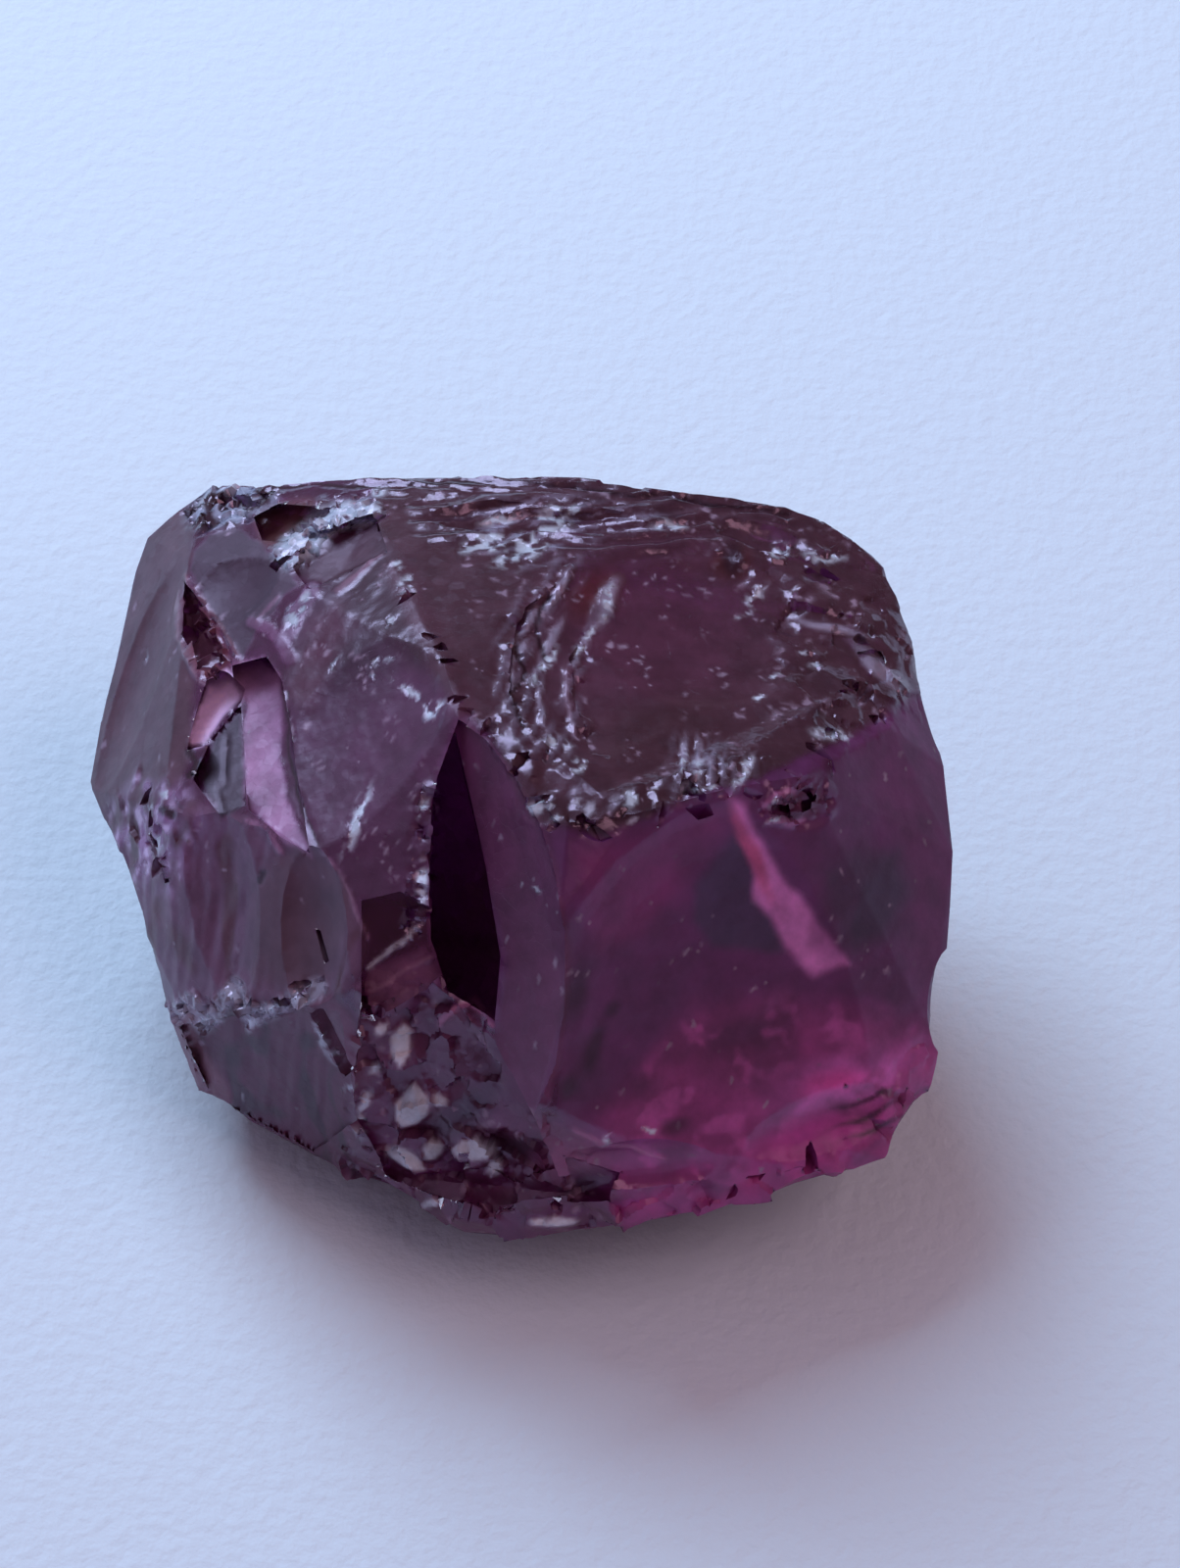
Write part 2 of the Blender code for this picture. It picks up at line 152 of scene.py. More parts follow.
def apply_modifiers(piece):
    """Make what the modifiers show into the piece's own mesh."""
    graph = bpy.context.evaluated_depsgraph_get()
    mesh = bpy.data.meshes.new_from_object(piece.evaluated_get(graph))
    piece.modifiers.clear()
    piece.data = mesh
    mesh.calc_loop_triangles()
    print("triangles:", len(mesh.loop_triangles))


stone = merged_copy(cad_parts["garnet"], "rough_garnet")
remesh = stone.modifiers.new("net", "REMESH")
remesh.mode = "SHARP"
remesh.octree_depth = NET_DEPTH
remesh.scale = NET_SCALE
remesh.use_remove_disconnected = True
apply_modifiers(stone)

# %% [markdown]
# ## The net as arrays
#
# Nearly two hundred thousand points are too many to handle one at a time in Python, so
# the script reads them into arrays, works on all of them at once, and writes them back.
#
# Most of the functions below are stencils. A stencil gives each point a value from 0 to
# 1, and the relief and the paint are both laid on through it, as a sign painter works. A
# stencil also fades out where the surface turns away from the view, because a place in
# the view says nothing about the sides that it doesn't show.

# %% A class that holds the net in mm


def smooth(values, low, high):
    """0 below low, 1 above high, and an S-curve between them."""
    part = np.clip((values - low) / (high - low), 0.0, 1.0)
    return part * part * (3.0 - 2.0 * part)


class Net:
    """The points of the stone, and the stencils that pick some of them out."""

    def __init__(self, mesh):
        self.mesh = mesh
        self.count = len(mesh.vertices)
        self.points = self.read(mesh.vertices, "co") / MM
        self.normals = self.read(mesh.vertex_normals, "vector")
        # A broken edge is never straight, so the grid itself wanders a little.
        across, up = on_grid(self.points)
        self.across = across + 0.12 * self.lumps(1.1, 1) + 0.05 * self.lumps(0.4, 2)
        self.up = up + 0.12 * self.lumps(1.1, 3) + 0.05 * self.lumps(0.4, 4)
        self.seen = smooth(self.normals @ TO_EYE, -0.02, 0.12)

    def read(self, items, field):
        flat = np.empty(self.count * 3, np.float32)
        items.foreach_get(field, flat)
        return flat.reshape(self.count, 3).astype(float)

    def write_points(self):
        self.mesh.vertices.foreach_set("co", (self.points * MM).astype(np.float32).ravel())
        self.mesh.update()

    def lumps(self, size, seed):
        """Soft noise from -1 to 1, with lumps of about that size in mm."""
        shift = Vector((seed * 17.3, seed * 5.1, seed * 9.7))
        return np.array([noise.noise(Vector(place) / size + shift) for place in self.points])

    def distance(self, corners):
        """How far each point shows from a line through the corners."""
        nearest = np.full(self.count, 1e9)
        for (x0, y0), (x1, y1) in zip(corners, corners[1:]):
            run = np.array((x1 - x0, y1 - y0))
            beside = (self.across - x0) * run[0] + (self.up - y0) * run[1]
            part = np.clip(beside / max(run @ run, 1e-9), 0.0, 1.0)
            gap = np.hypot(self.across - x0 - part * run[0], self.up - y0 - part * run[1])
            nearest = np.minimum(nearest, gap)
        return nearest

    def inside(self, corners, soft=0.12):
        """1 inside the outline, 0 outside, with a border that fades over twice soft mm."""
        within = np.zeros(self.count, bool)
        ring = corners + corners[:1]
        for (x0, y0), (x1, y1) in zip(ring, ring[1:]):
            if y0 != y1:
                at = (x1 - x0) * (self.up - y0) / (y1 - y0) + x0
                within ^= ((y0 > self.up) != (y1 > self.up)) & (self.across < at)
        border = self.distance(ring)
        return smooth(np.where(within, border, -border), -soft, soft) * self.seen

    def near(self, corners, width, soft=0.1):
        """1 along a line that wide, fading over soft mm on both sides of it."""
        far = self.distance(corners)
        return (1.0 - smooth(far, width / 2, width / 2 + soft)) * self.seen

    def oval(self, x, y, length, width, turn, soft=0.3):
        """1 in an oval whose length is turned that many degrees from across."""
        turn = math.radians(turn)
        along = (self.across - x) * math.cos(turn) + (self.up - y) * math.sin(turn)
        over = (self.up - y) * math.cos(turn) - (self.across - x) * math.sin(turn)
        radius = np.hypot(along / (length / 2), over / (width / 2))
        return (1.0 - smooth(radius, 1.0 - soft, 1.0 + soft)) * self.seen

    def waves(self, period, turn, wander, seed):
        """Ridges from -1 to 1 across the view, that far apart, turned that many degrees."""
        turn = math.radians(turn)
        over = self.up * math.cos(turn) - self.across * math.sin(turn)
        return np.sin(over * 2 * math.pi / period + wander * self.lumps(2.0, seed))

    def nearest_seeds(self, mask, spacing, dice):
        """The points where the mask is, the loose seed nearest to each, and the way from it."""
        places = np.flatnonzero(mask > 0.01)
        wanted = max(4, int(len(places) * NET_STEP**2 / spacing**2))
        seeds = dice.choice(places, size=min(wanted, len(places)), replace=False)
        tree = KDTree(len(seeds))
        for number, place in enumerate(seeds):
            tree.insert(self.points[place], number)
        tree.balance()
        numbers = np.array([tree.find(self.points[place])[1] for place in places])
        return places, numbers, self.points[places] - self.points[seeds[numbers]]

    def facets(self, mask, spacing, lean, step, seed):
        """Relief in mm of small flat facets about that far apart, where the mask is."""
        dice = np.random.default_rng(seed)
        places, numbers, offsets = self.nearest_seeds(mask, spacing, dice)
        slopes = dice.normal(0.0, lean, (numbers.max() + 1, 3))
        heights = dice.uniform(-step, step, numbers.max() + 1)
        moved = np.zeros(self.count)
        moved[places] = heights[numbers] + (offsets * slopes[numbers]).sum(axis=1)
        return moved * mask

    def flecks(self, mask, spacing, size, turn, seed):
        """1 in small loose flecks about that far apart, long ways on at that turn."""
        dice = np.random.default_rng(seed)
        places, numbers, offsets = self.nearest_seeds(mask, spacing, dice)
        turns = math.radians(turn) + dice.normal(0.0, 0.5, numbers.max() + 1)[numbers]
        sideways, upwards, nearer = offsets @ RIGHT, offsets @ UP, offsets @ TO_EYE
        along = sideways * np.cos(turns) + upwards * np.sin(turns)
        over = upwards * np.cos(turns) - sideways * np.sin(turns)
        reach = size * dice.uniform(0.2, 1.2, numbers.max() + 1)[numbers]
        spots = np.zeros(self.count)
        spots[places] = 1.0 - smooth(np.hypot(np.hypot(along, nearer), 2.2 * over) / reach, 0.5, 1.0)
        return spots * mask


# %% Read the net
net = Net(stone.data)
print("points:", net.count)

# %% [markdown]
# ## The faces of the best side
#
# Each face broke in its own way, so each gets its own outline. They are named here once,
# and the relief, the colour and the gloss all use the same names. An outline drawn in the
# view is quicker to compare with the photograph than faces picked from the mesh, and it
# still fits when the mesh changes.

# %% How large a face shows


def share(outline):
    """The part of the side that shows that lies inside the outline, in percent."""
    return round(100.0 * float(net.inside(outline).sum() / net.seen.sum()), 1)


# %% Outlines of the left face and of the flakes beside it
LEFT_FACE = [(-12.2, -0.2), (-12.0, 5.0), (-9.8, 7.4), (-9.0, 6.4), (-9.3, 5.0), (-9.5, 3.4),
             (-9.2, 2.4), (-9.2, 1.0), (-9.6, -0.2), (-10.3, -1.6), (-11.0, -2.6)]
OVAL_FACE = [(-9.25, 5.0), (-9.15, 5.4), (-8.8, 5.8), (-8.3, 5.9), (-7.7, 5.75), (-7.2, 5.2),
             (-6.75, 4.6), (-7.1, 4.3), (-7.3, 4.0), (-7.7, 3.6), (-8.1, 2.85), (-8.45, 3.45),
             (-8.85, 4.1)]
DARK_PIT = [(-9.35, 4.5), (-9.4, 3.9), (-9.45, 3.4), (-9.2, 2.7), (-8.9, 2.4), (-8.55, 2.6),
            (-8.3, 2.85), (-8.6, 3.6), (-9.1, 4.35)]
PINK_FLAKE = [(-8.5, 2.7), (-8.0, 2.2), (-8.1, 2.0), (-8.9, 0.9), (-9.3, 0.8), (-9.1, 1.6),
              (-8.8, 2.4)]
PINK_STRIP = [(-8.4, 2.75), (-7.6, 2.9), (-7.2, 2.6), (-7.1, 1.8), (-7.15, 0.6),
              (-7.0, -0.3), (-6.6, -1.2), (-6.45, -1.75), (-7.2, -1.2), (-7.9, -0.6),
              (-8.0, 0.5), (-7.95, 1.8)]
GREY_GREEN_FACE = [(-8.1, 1.8), (-8.0, 0.5), (-8.0, -0.5), (-8.6, -0.8), (-9.1, 0.1),
                   (-8.7, 1.0)]
print("left face, percent:", share(LEFT_FACE))

# %% Outlines of the faces beside the cleft
MAUVE_FACE = [(-7.0, 3.0), (-6.6, 3.9), (-5.6, 4.7), (-4.6, 5.1), (-4.0, 4.2), (-3.5, 3.1),
              (-3.1, 2.1), (-3.0, 1.7), (-3.3, 1.0), (-3.6, 0.0), (-3.7, -2.0), (-3.7, -3.0),
              (-4.6, -2.7), (-5.3, -2.6), (-6.2, -1.6), (-6.9, -0.4), (-7.1, 1.0)]
CLEFT = [(-3.1, 1.2), (-3.5, 0.6), (-3.6, 0.0), (-3.7, -2.0), (-3.75, -3.0), (-3.7, -3.7),
         (-3.5, -4.3), (-3.3, -4.9), (-2.7, -5.1), (-2.1, -5.6), (-2.0, -4.0), (-2.2, -3.0),
         (-2.5, -1.8), (-2.75, -0.8), (-2.95, 0.2)]
PLUM_STRIP = [(-3.0, 1.7), (-2.5, 1.2), (-1.8, 0.3), (-1.2, -0.8), (-0.8, -2.0), (-0.5, -3.5),
              (-0.5, -5.0), (-0.7, -6.5), (-1.0, -7.4), (-1.4, -7.7), (-2.2, -7.2),
              (-2.1, -5.6), (-2.0, -4.0), (-2.3, -2.6), (-2.75, -0.8), (-2.95, 0.2), (-3.1, 1.2)]
print("mauve face, percent:", share(MAUVE_FACE))

# %% Outlines of the faces at the lower left
RIBBED_FACE = [(-10.6, -0.6), (-9.3, -0.4), (-8.0, -0.7), (-7.2, -1.6), (-6.3, -1.6),
               (-5.9, -2.0), (-5.5, -2.7), (-5.25, -3.5), (-5.35, -4.3), (-5.6, -5.0),
               (-6.3, -4.8), (-7.0, -5.1), (-8.2, -4.9), (-9.2, -5.3), (-10.2, -5.0),
               (-11.4, -1.5)]
LOWER_LEFT_FACE = [(-10.0, -5.3), (-9.0, -5.4), (-8.2, -4.8), (-7.0, -5.1), (-6.0, -4.8),
                   (-5.5, -5.4), (-5.4, -7.6), (-5.3, -9.3), (-9.6, -7.6)]
BROKEN_CORNER = [(-5.4, -4.6), (-4.2, -4.3), (-3.2, -5.0), (-2.2, -5.9), (-1.8, -7.4),
                 (-0.8, -7.9), (0.6, -8.6), (1.2, -10.6), (-3.2, -11.0), (-5.8, -9.4),
                 (-5.5, -7.0)]
print("ribbed face, percent:", share(RIBBED_FACE))

# %% Outlines of the top and of the clear window
BROWN_TOP = [(-5.0, 5.4), (-4.0, 4.2), (-3.3, 2.5), (-3.0, 1.7), (-2.0, 0.9), (-1.5, -0.2),
             (-1.0, -1.0), (0.0, -1.0), (1.0, -0.7), (2.0, -0.35), (3.3, -0.1), (3.8, 0.1),
             (5.0, 0.65), (6.0, 1.0), (7.0, 1.6), (7.5, 2.1), (8.4, 2.2), (7.9, 4.6),
             (6.2, 6.6), (2.0, 7.6), (-5.0, 7.8)]
WINDOW = [(-1.0, -1.0), (0.0, -1.0), (1.0, -0.7), (2.0, -0.35), (3.3, -0.1), (3.8, 0.1),
          (5.0, 0.65), (6.0, 1.0), (7.0, 1.6), (7.5, 2.1), (9.0, 1.0), (9.2, -6.0), (7.5, -9.5),
          (2.0, -10.8), (0.6, -8.6), (-0.8, -7.9), (-0.7, -6.5), (-0.5, -5.0), (-0.5, -3.5),
          (-0.8, -2.0)]
GLOW = [(2.5, -5.3), (4.5, -5.0), (6.0, -5.3), (7.9, -5.5), (9.2, -6.0), (7.6, -9.6),
        (2.0, -10.8), (0.4, -9.4), (0.4, -7.6), (1.6, -6.4)]
print("top, percent:", share(BROWN_TOP))
print("window, percent:", share(WINDOW))

# %% [markdown]
# ## Where the stone is crushed, stepped or chipped
#
# Where two faces meet, garnet crumbles. Some of these places are patches, which get an
# outline, and some run along an edge, which get a line and a width where they are used.

# %% Crushed patches
TOP_LEFT_CLUSTER = [(-9.5, 6.2), (-9.2, 6.9), (-8.4, 7.3), (-7.3, 7.2), (-7.2, 6.5),
                    (-7.8, 6.3), (-8.2, 6.0), (-9.0, 5.9)]
LILAC_PATCH = [(-10.4, 0.2), (-9.6, 0.2), (-9.2, -0.9), (-9.6, -2.4), (-10.6, -2.2),
               (-11.2, -0.9)]
RIGHT_CHIPS = [(3.2, 5.8), (6.0, 5.8), (7.6, 3.0), (7.6, 1.8), (6.0, 1.0), (4.2, 1.2),
               (4.6, 3.2), (3.4, 4.6)]
HACKLES = [(1.9, 1.1), (2.9, 1.0), (3.5, 0.6), (4.0, 0.5), (3.6, 0.0), (2.9, -0.2), (2.0, -0.4)]
SILVER_GLINT_PATCH = [(-2.6, 6.5), (-1.2, 6.75), (0.2, 6.5), (1.4, 6.4), (2.0, 6.1), (0.4, 6.0),
                (-0.3, 5.3), (-1.6, 5.0), (-2.6, 5.5)]
print("right chips, percent:", share(RIGHT_CHIPS))

# %% Crushed and stepped edges
SHELF_GLINTS = [(-7.0, 5.3), (-6.4, 5.8), (-6.0, 6.2), (-5.2, 6.3)]
TOP_STREAKS = [(-3.4, 6.3), (-1.5, 6.0), (0.5, 6.0), (2.4, 5.7)]
RIDGE_CHIPS = [(-1.7, 0.7), (-1.1, -0.6), (0.2, -0.8), (1.2, -0.5), (2.4, 0.2), (3.8, 0.5)]
OUTER_ZIGZAG = [(-0.5, 4.9), (-1.4, 4.0), (-1.8, 3.1), (-1.85, 2.3), (-1.4, 1.5), (-0.85, 0.9)]
INNER_ZIGZAG = [(0.5, 4.6), (0.1, 3.75), (-0.27, 2.85), (-0.44, 2.05), (-0.27, 1.35)]
LEFT_GLINT_LINE = [(-9.6, -5.3), (-9.2, -5.1), (-8.9, -5.5), (-8.2, -4.7), (-7.9, -5.4),
                   (-7.0, -5.1), (-6.3, -4.7)]
CLEFT_RIM = [(-3.75, -0.3), (-3.9, -1.6), (-4.0, -2.6), (-4.1, -3.3)]
TOP_LEFT_RIDGE = [(-3.0, 2.0), (-3.6, 3.3), (-4.4, 4.8)]
LEFT_NOTCH = [(-9.6, -5.5), (-9.2, -6.3), (-8.7, -7.3)]
LOWER_EDGE = [(1.0, -9.9), (3.0, -9.6), (5.2, -9.0), (6.8, -8.3), (7.9, -6.6)]
BACK_RIM = [(-5.0, 7.1), (-1.4, 7.2), (2.0, 6.8), (4.5, 6.45)]
print("chipped ridge, corners:", len(RIDGE_CHIPS))

# %% Patches of another tone
RIGHT_RIM = [(6.0, 1.0), (7.5, 2.1), (9.0, 2.0), (9.2, -6.0), (7.6, -5.0), (7.2, -1.4)]
RED_BAND = [(-6.4, 3.8), (-6.9, 2.8), (-7.05, 2.0), (-6.4, 1.6), (-5.9, 2.9), (-5.5, 3.8),
            (-5.85, 4.3)]
HOLLOW = [(-7.9, 6.3), (-7.6, 5.6), (-7.0, 5.5), (-6.4, 6.0), (-5.8, 6.5), (-7.2, 6.6)]
BEHIND_SHELF = [(-6.9, 5.0), (-6.5, 5.7), (-5.0, 6.0), (-4.5, 5.4), (-5.6, 4.7), (-6.5, 4.6)]
UPPER_CORNER = [(-6.0, 4.7), (-4.9, 5.5), (-4.1, 4.4), (-3.2, 2.3), (-4.2, 2.8), (-5.3, 3.8)]
PURPLE_PATCH = [(-5.15, -4.4), (-3.9, -3.75), (-3.45, -4.5), (-3.5, -5.3), (-5.0, -4.9)]
print("right rim, percent:", share(RIGHT_RIM))

# %% [markdown]
# ## Small marks
#
# About a hundred and fifty small marks give the stone its character. Each is a short
# line, or an oval with a length, a width and a turn in degrees from across. A list of
# them reads like a museum's record of a stone, and one loop below then raises or paints
# a whole list.

# %% Thin broken edges, raised a little and with a painted pale highlight where they catch the light: line, width and tone
FLAKE_EDGES = [
    ([(-9.4, 4.9), (-8.85, 4.1), (-8.45, 3.45), (-8.15, 2.8)], 0.0, (132, 98, 108)),
    ([(-9.5, 4.5), (-9.55, 3.8), (-9.6, 3.4), (-9.3, 2.8), (-9.15, 2.5), (-8.9, 2.3)],
     0.0, (150, 124, 142)),
    ([(-7.2, 4.3), (-7.5, 4.0), (-7.75, 3.7)], 0.0, (134, 98, 126)),
    ([(-7.85, 3.75), (-7.45, 3.55), (-7.1, 3.15), (-6.95, 2.9)], 0.2, (120, 84, 118)),
    ([(-7.1, 3.35), (-6.75, 3.95), (-6.4, 4.45)], 0.3, (134, 110, 142)),
    ([(-5.85, 4.45), (-5.4, 4.8), (-4.9, 5.3)], 0.06, (136, 100, 124)),
    ([(-8.0, -0.85), (-7.5, -1.05), (-7.15, -1.5)], 0.04, (150, 104, 138)),
    ([(-6.2, -1.55), (-5.75, -2.1), (-5.45, -2.9), (-5.2, -3.6)], 0.01, (140, 108, 136)),
    ([(-5.15, -4.3), (-4.55, -3.75), (-4.0, -3.3)], 0.05, (190, 192, 210)),
    ([(-5.15, -4.85), (-4.4, -4.4), (-3.65, -3.95)], 0.01, (140, 100, 128)),
    ([(-3.5, -5.6), (-3.1, -5.2), (-2.7, -5.05), (-2.25, -5.6)], 0.08, (166, 100, 142)),
    ([(-0.58, 2.6), (-0.45, 1.8), (-0.35, 1.1)], 0.01, (160, 140, 168)),
    ([(4.05, -0.5), (4.4, -0.2), (4.7, -0.1)], 0.05, (180, 112, 166)),
    ([(4.2, -0.85), (4.6, -0.95), (4.9, -0.8)], 0.04, (170, 106, 156)),
    ([(-0.35, -8.0), (0.3, -8.3), (1.0, -8.4), (1.7, -8.7)], 0.01, (170, 110, 150)),
]
print("thin edges:", len(FLAKE_EDGES))

# %% Strokes on the steps of the top, raised a little and with a painted silvery highlight: across, up, length, width and turn
STROKES = [
    (-0.7, 4.55, 0.8, 0.16, 60),
    (-1.0, 4.1, 1.0, 0.16, 62),
    (-1.4, 3.75, 0.8, 0.14, 52),
    (-0.9, 3.4, 1.0, 0.18, 58),
    (-1.2, 2.75, 0.8, 0.18, 66),
    (-1.65, 3.1, 0.7, 0.12, 50),
    (-1.85, 2.5, 0.6, 0.1, 95),
    (-1.8, 1.9, 0.7, 0.1, 102),
    (-1.5, 1.35, 0.6, 0.12, 122),
    (-1.15, 2.1, 0.8, 0.12, 82),
    (-1.05, 1.5, 0.6, 0.1, 98),
    (0.4, 4.2, 1.1, 0.32, 66),
    (0.0, 3.5, 0.6, 0.14, 60),
    (-0.35, 2.9, 0.7, 0.14, 62),
    (2.1, 0.6, 1.0, 0.12, 84),
    (2.45, 0.5, 1.1, 0.14, 88),
    (2.8, 0.4, 0.9, 0.12, 84),
    (3.1, 0.35, 0.6, 0.12, 80),
    (3.65, 0.3, 0.9, 0.16, 58),
    (6.7, 2.7, 1.4, 0.3, -45),
    (5.6, 3.6, 1.6, 0.16, -12),
]
print("strokes:", len(STROKES))

# %% Thin cracks and small holes, sunk a little and painted with the shade inside them: line and width
CRACKS = [
    ([(-8.4, 1.05), (-8.45, 0.0), (-8.65, -0.1), (-8.5, -0.7)], 0.02),
    ([(-7.5, -2.0), (-7.6, -2.25)], 0.08),
    ([(-7.0, 2.1), (-7.0, 0.8), (-6.75, -0.3), (-6.3, -1.4)], 0.02),
    ([(-9.3, 0.75), (-9.1, 0.4), (-9.3, 0.2)], 0.14),
    ([(-9.9, -0.55), (-9.7, -0.75)], 0.12),
    ([(-7.6, 6.85), (-4.0, 6.95), (-1.4, 7.0), (2.0, 6.6), (4.6, 6.25)], 0.03),
    ([(-1.75, 3.2), (-1.55, 2.6), (-1.85, 2.0), (-1.5, 1.2)], 0.04),
    ([(-0.95, 4.4), (-1.25, 3.6), (-1.1, 2.9)], 0.04),
]
print("cracks:", len(CRACKS))

# %% Soft dark clouds in the clear part: across, up, length, width and turn
CLOUDS = [
    (-0.35, -4.8, 1.3, 0.5, 80),
    (0.05, -6.1, 1.2, 0.4, 75),
    (-0.5, -7.0, 0.7, 0.4, 60),
    (0.5, -5.2, 0.5, 0.3, 40),
    (2.0, -8.0, 0.7, 0.4, 10),
    (-1.8, -8.4, 1.4, 0.7, 0),
    (0.0, -9.3, 1.2, 0.6, 10),
    (6.5, -7.65, 1.6, 0.14, 22),
    (6.7, -7.95, 1.4, 0.12, 22),
    (6.4, -7.3, 1.4, 0.1, 18),
    (3.3, 5.2, 0.5, 0.9, 10),
    (-3.0, -7.6, 1.6, 0.7, 30),
]
print("clouds:", len(CLOUDS))

# %% Pale crumbs that stand proud: across, up, length, width, turn and height
CRUMBS = [
    (-4.4, -6.1, 1.1, 0.55, 80, 0.14),
    (-4.15, -7.55, 1.2, 0.85, 70, 0.18),
    (-4.3, -8.65, 1.1, 0.5, -28, 0.14),
    (-3.6, -8.45, 0.55, 0.5, 30, 0.13),
    (-2.7, -8.5, 1.05, 0.6, -8, 0.16),
    (-0.9, -10.15, 1.3, 0.34, 2, 0.1),
    (-3.75, -9.8, 0.65, 0.26, 10, 0.1),
    (-4.85, -5.7, 0.4, 0.3, 60, 0.08),
    (-5.05, -6.6, 0.4, 0.25, 70, 0.08),
    (-2.2, -8.9, 0.4, 0.3, 20, 0.08),
    (-3.5, -7.3, 0.45, 0.3, 0, 0.08),
]
print("crumbs:", len(CRUMBS))

# %% White bruises and painted glints, flat in the surface: across, up, length, width and turn
BRUISES_AND_GLINTS = [
    (-10.0, -1.4, 0.6, 0.3, 60),
    (-10.25, -0.5, 0.4, 0.2, 40),
    (-9.85, -0.2, 0.35, 0.2, 0),
    (-6.75, 4.0, 1.0, 0.34, 55),
    (-5.2, -7.4, 0.5, 0.25, 70),
    (-5.3, -7.95, 0.6, 0.28, 80),
    (-5.55, -7.1, 0.3, 0.14, 10),
    (-3.58, -7.3, 0.32, 0.2, 0),
    (-4.0, 2.0, 1.2, 0.2, -35),
    (-3.6, 1.7, 0.6, 0.3, 50),
    (-5.0, 2.6, 0.4, 0.12, 80),
    (-5.85, 2.8, 0.4, 0.1, 60),
    (-4.65, 3.75, 0.35, 0.2, 50),
    (-4.7, -1.1, 0.25, 0.2, 0),
    (-1.6, 5.4, 1.0, 0.6, 40),
    (-0.9, 6.1, 0.9, 0.45, 55),
    (-2.0, 6.15, 1.0, 0.2, 8),
    (-2.4, 5.75, 0.8, 0.2, 8),
    (-6.25, 6.15, 0.8, 0.35, 25),
    (-5.6, 6.25, 0.8, 0.5, 20),
    (-9.0, 6.6, 0.5, 0.25, 60),
    (-8.4, 6.9, 0.6, 0.25, 10),
    (-8.0, 6.4, 0.5, 0.2, 40),
    (1.6, 6.1, 0.7, 0.2, -10),
    (0.0, 3.5, 0.4, 0.14, 60),
    (-0.3, 2.95, 0.5, 0.14, 60),
    (-1.35, -0.55, 0.4, 0.24, 10),
    (0.93, -0.3, 0.28, 0.4, 0),
    (3.6, 0.3, 0.8, 0.14, 55),
    (5.75, 1.15, 0.6, 0.24, -5),
    (4.2, 2.5, 0.35, 0.1, 10),
    (4.9, 3.0, 0.2, 0.12, 10),
    (-5.45, -0.85, 1.6, 0.34, 68),
    (-3.85, -0.5, 0.8, 0.22, 75),
    (-3.92, -2.3, 1.1, 0.3, 86),
    (-4.0, -3.25, 0.3, 0.25, 0),
    (-4.45, -3.7, 0.8, 0.14, 35),
    (-4.8, 2.85, 0.5, 0.1, 0),
    (-4.35, 4.65, 0.5, 0.25, 60),
    (-4.45, 5.1, 0.3, 0.2, 20),
    (-6.75, 5.6, 0.8, 0.45, 20),
    (-5.5, 6.35, 1.4, 0.36, 5),
    (-4.95, 6.8, 0.5, 0.2, 0),
    (-2.5, 5.5, 1.2, 0.3, 10),
    (-1.6, 5.35, 1.3, 0.34, 25),
    (-0.85, 5.9, 0.9, 0.3, 30),
    (-0.5, 6.35, 0.6, 0.24, 0),
    (1.75, 6.0, 0.9, 0.2, -10),
    (0.41, 4.2, 0.85, 0.26, 70),
    (-1.1, 2.75, 1.1, 0.22, 60),
    (-0.2, 3.2, 0.7, 0.2, 55),
    (-0.73, 0.97, 0.6, 0.3, -20),
    (-0.27, 0.45, 0.4, 0.25, 60),
    (-1.18, -0.57, 0.6, 0.25, 10),
    (-0.78, -0.85, 0.5, 0.2, 45),
    (0.9, -0.23, 0.3, 0.35, 0),
    (2.1, 0.5, 0.7, 0.14, 80),
    (2.5, 0.4, 0.6, 0.12, 85),
    (3.5, 0.23, 0.8, 0.24, 60),
    (2.5, -0.18, 1.2, 0.1, 14),
    (3.88, 4.4, 0.7, 0.3, 50),
    (4.45, 5.45, 0.5, 0.26, 20),
    (5.4, 5.3, 0.9, 0.22, -8),
    (5.6, 1.15, 0.9, 0.3, -10),
    (3.6, 3.9, 0.5, 0.12, 20),
    (5.2, 2.7, 0.3, 0.14, 0),
    (3.95, 2.0, 0.25, 0.16, 0),
    (-9.36, -5.1, 0.4, 0.26, 60),
    (-8.9, -5.5, 0.6, 0.12, 10),
    (-7.9, -5.5, 0.5, 0.22, 80),
    (-7.4, -5.2, 0.45, 0.12, 20),
    (-6.75, -5.05, 0.35, 0.12, 20),
    (-8.3, -4.8, 0.25, 0.12, 0),
    (-6.2, -5.9, 0.9, 0.16, -65),
    (-5.85, -6.35, 0.5, 0.22, -60),
    (-8.0, -7.2, 0.3, 0.1, 80),
    (-10.3, 2.85, 0.35, 0.08, 80),
    (-1.58, -2.3, 0.14, 0.12, 0),
    (-1.2, -2.45, 0.22, 0.1, -40),
    (4.35, -0.85, 0.5, 0.12, 5),
    (4.3, -0.4, 0.35, 0.1, 50),
    (0.5, -8.2, 0.5, 0.16, 15),
    (1.4, -8.05, 0.5, 0.12, -20),
]
print("bruises:", len(BRUISES_AND_GLINTS))

# %% [markdown]
# ## Relief
#
# The breaking left more than the CAD solid shows: faces that are never quite flat, ribs
# on the left side, crushed places made of tiny flat facets, and thin layers along the
# back rim. A sculptor would carve these one by one. Here each kind is a rule that moves
# the points of the net in or out along their normals, so the shape stays one closed mesh
# and the marks are real from every side. A bump in the material would be quicker, but it
# would vanish at the outline and from the exported mesh.

# %% Faces that are never quite flat
relief = 0.035 * net.lumps(3.1, 5) + 0.01 * net.lumps(1.2, 6)
print("waviness, mm:", round(float(np.abs(relief).max()), 3))

# %% [markdown]
# The two faces at the lower left have ribs that run down them like folds in a curtain,
# where the crack wavered as it ran. A sine wave across the ribs gives their spacing, and
# soft noise makes it wander, so that no two ribs are alike. One lobe is almost smooth.

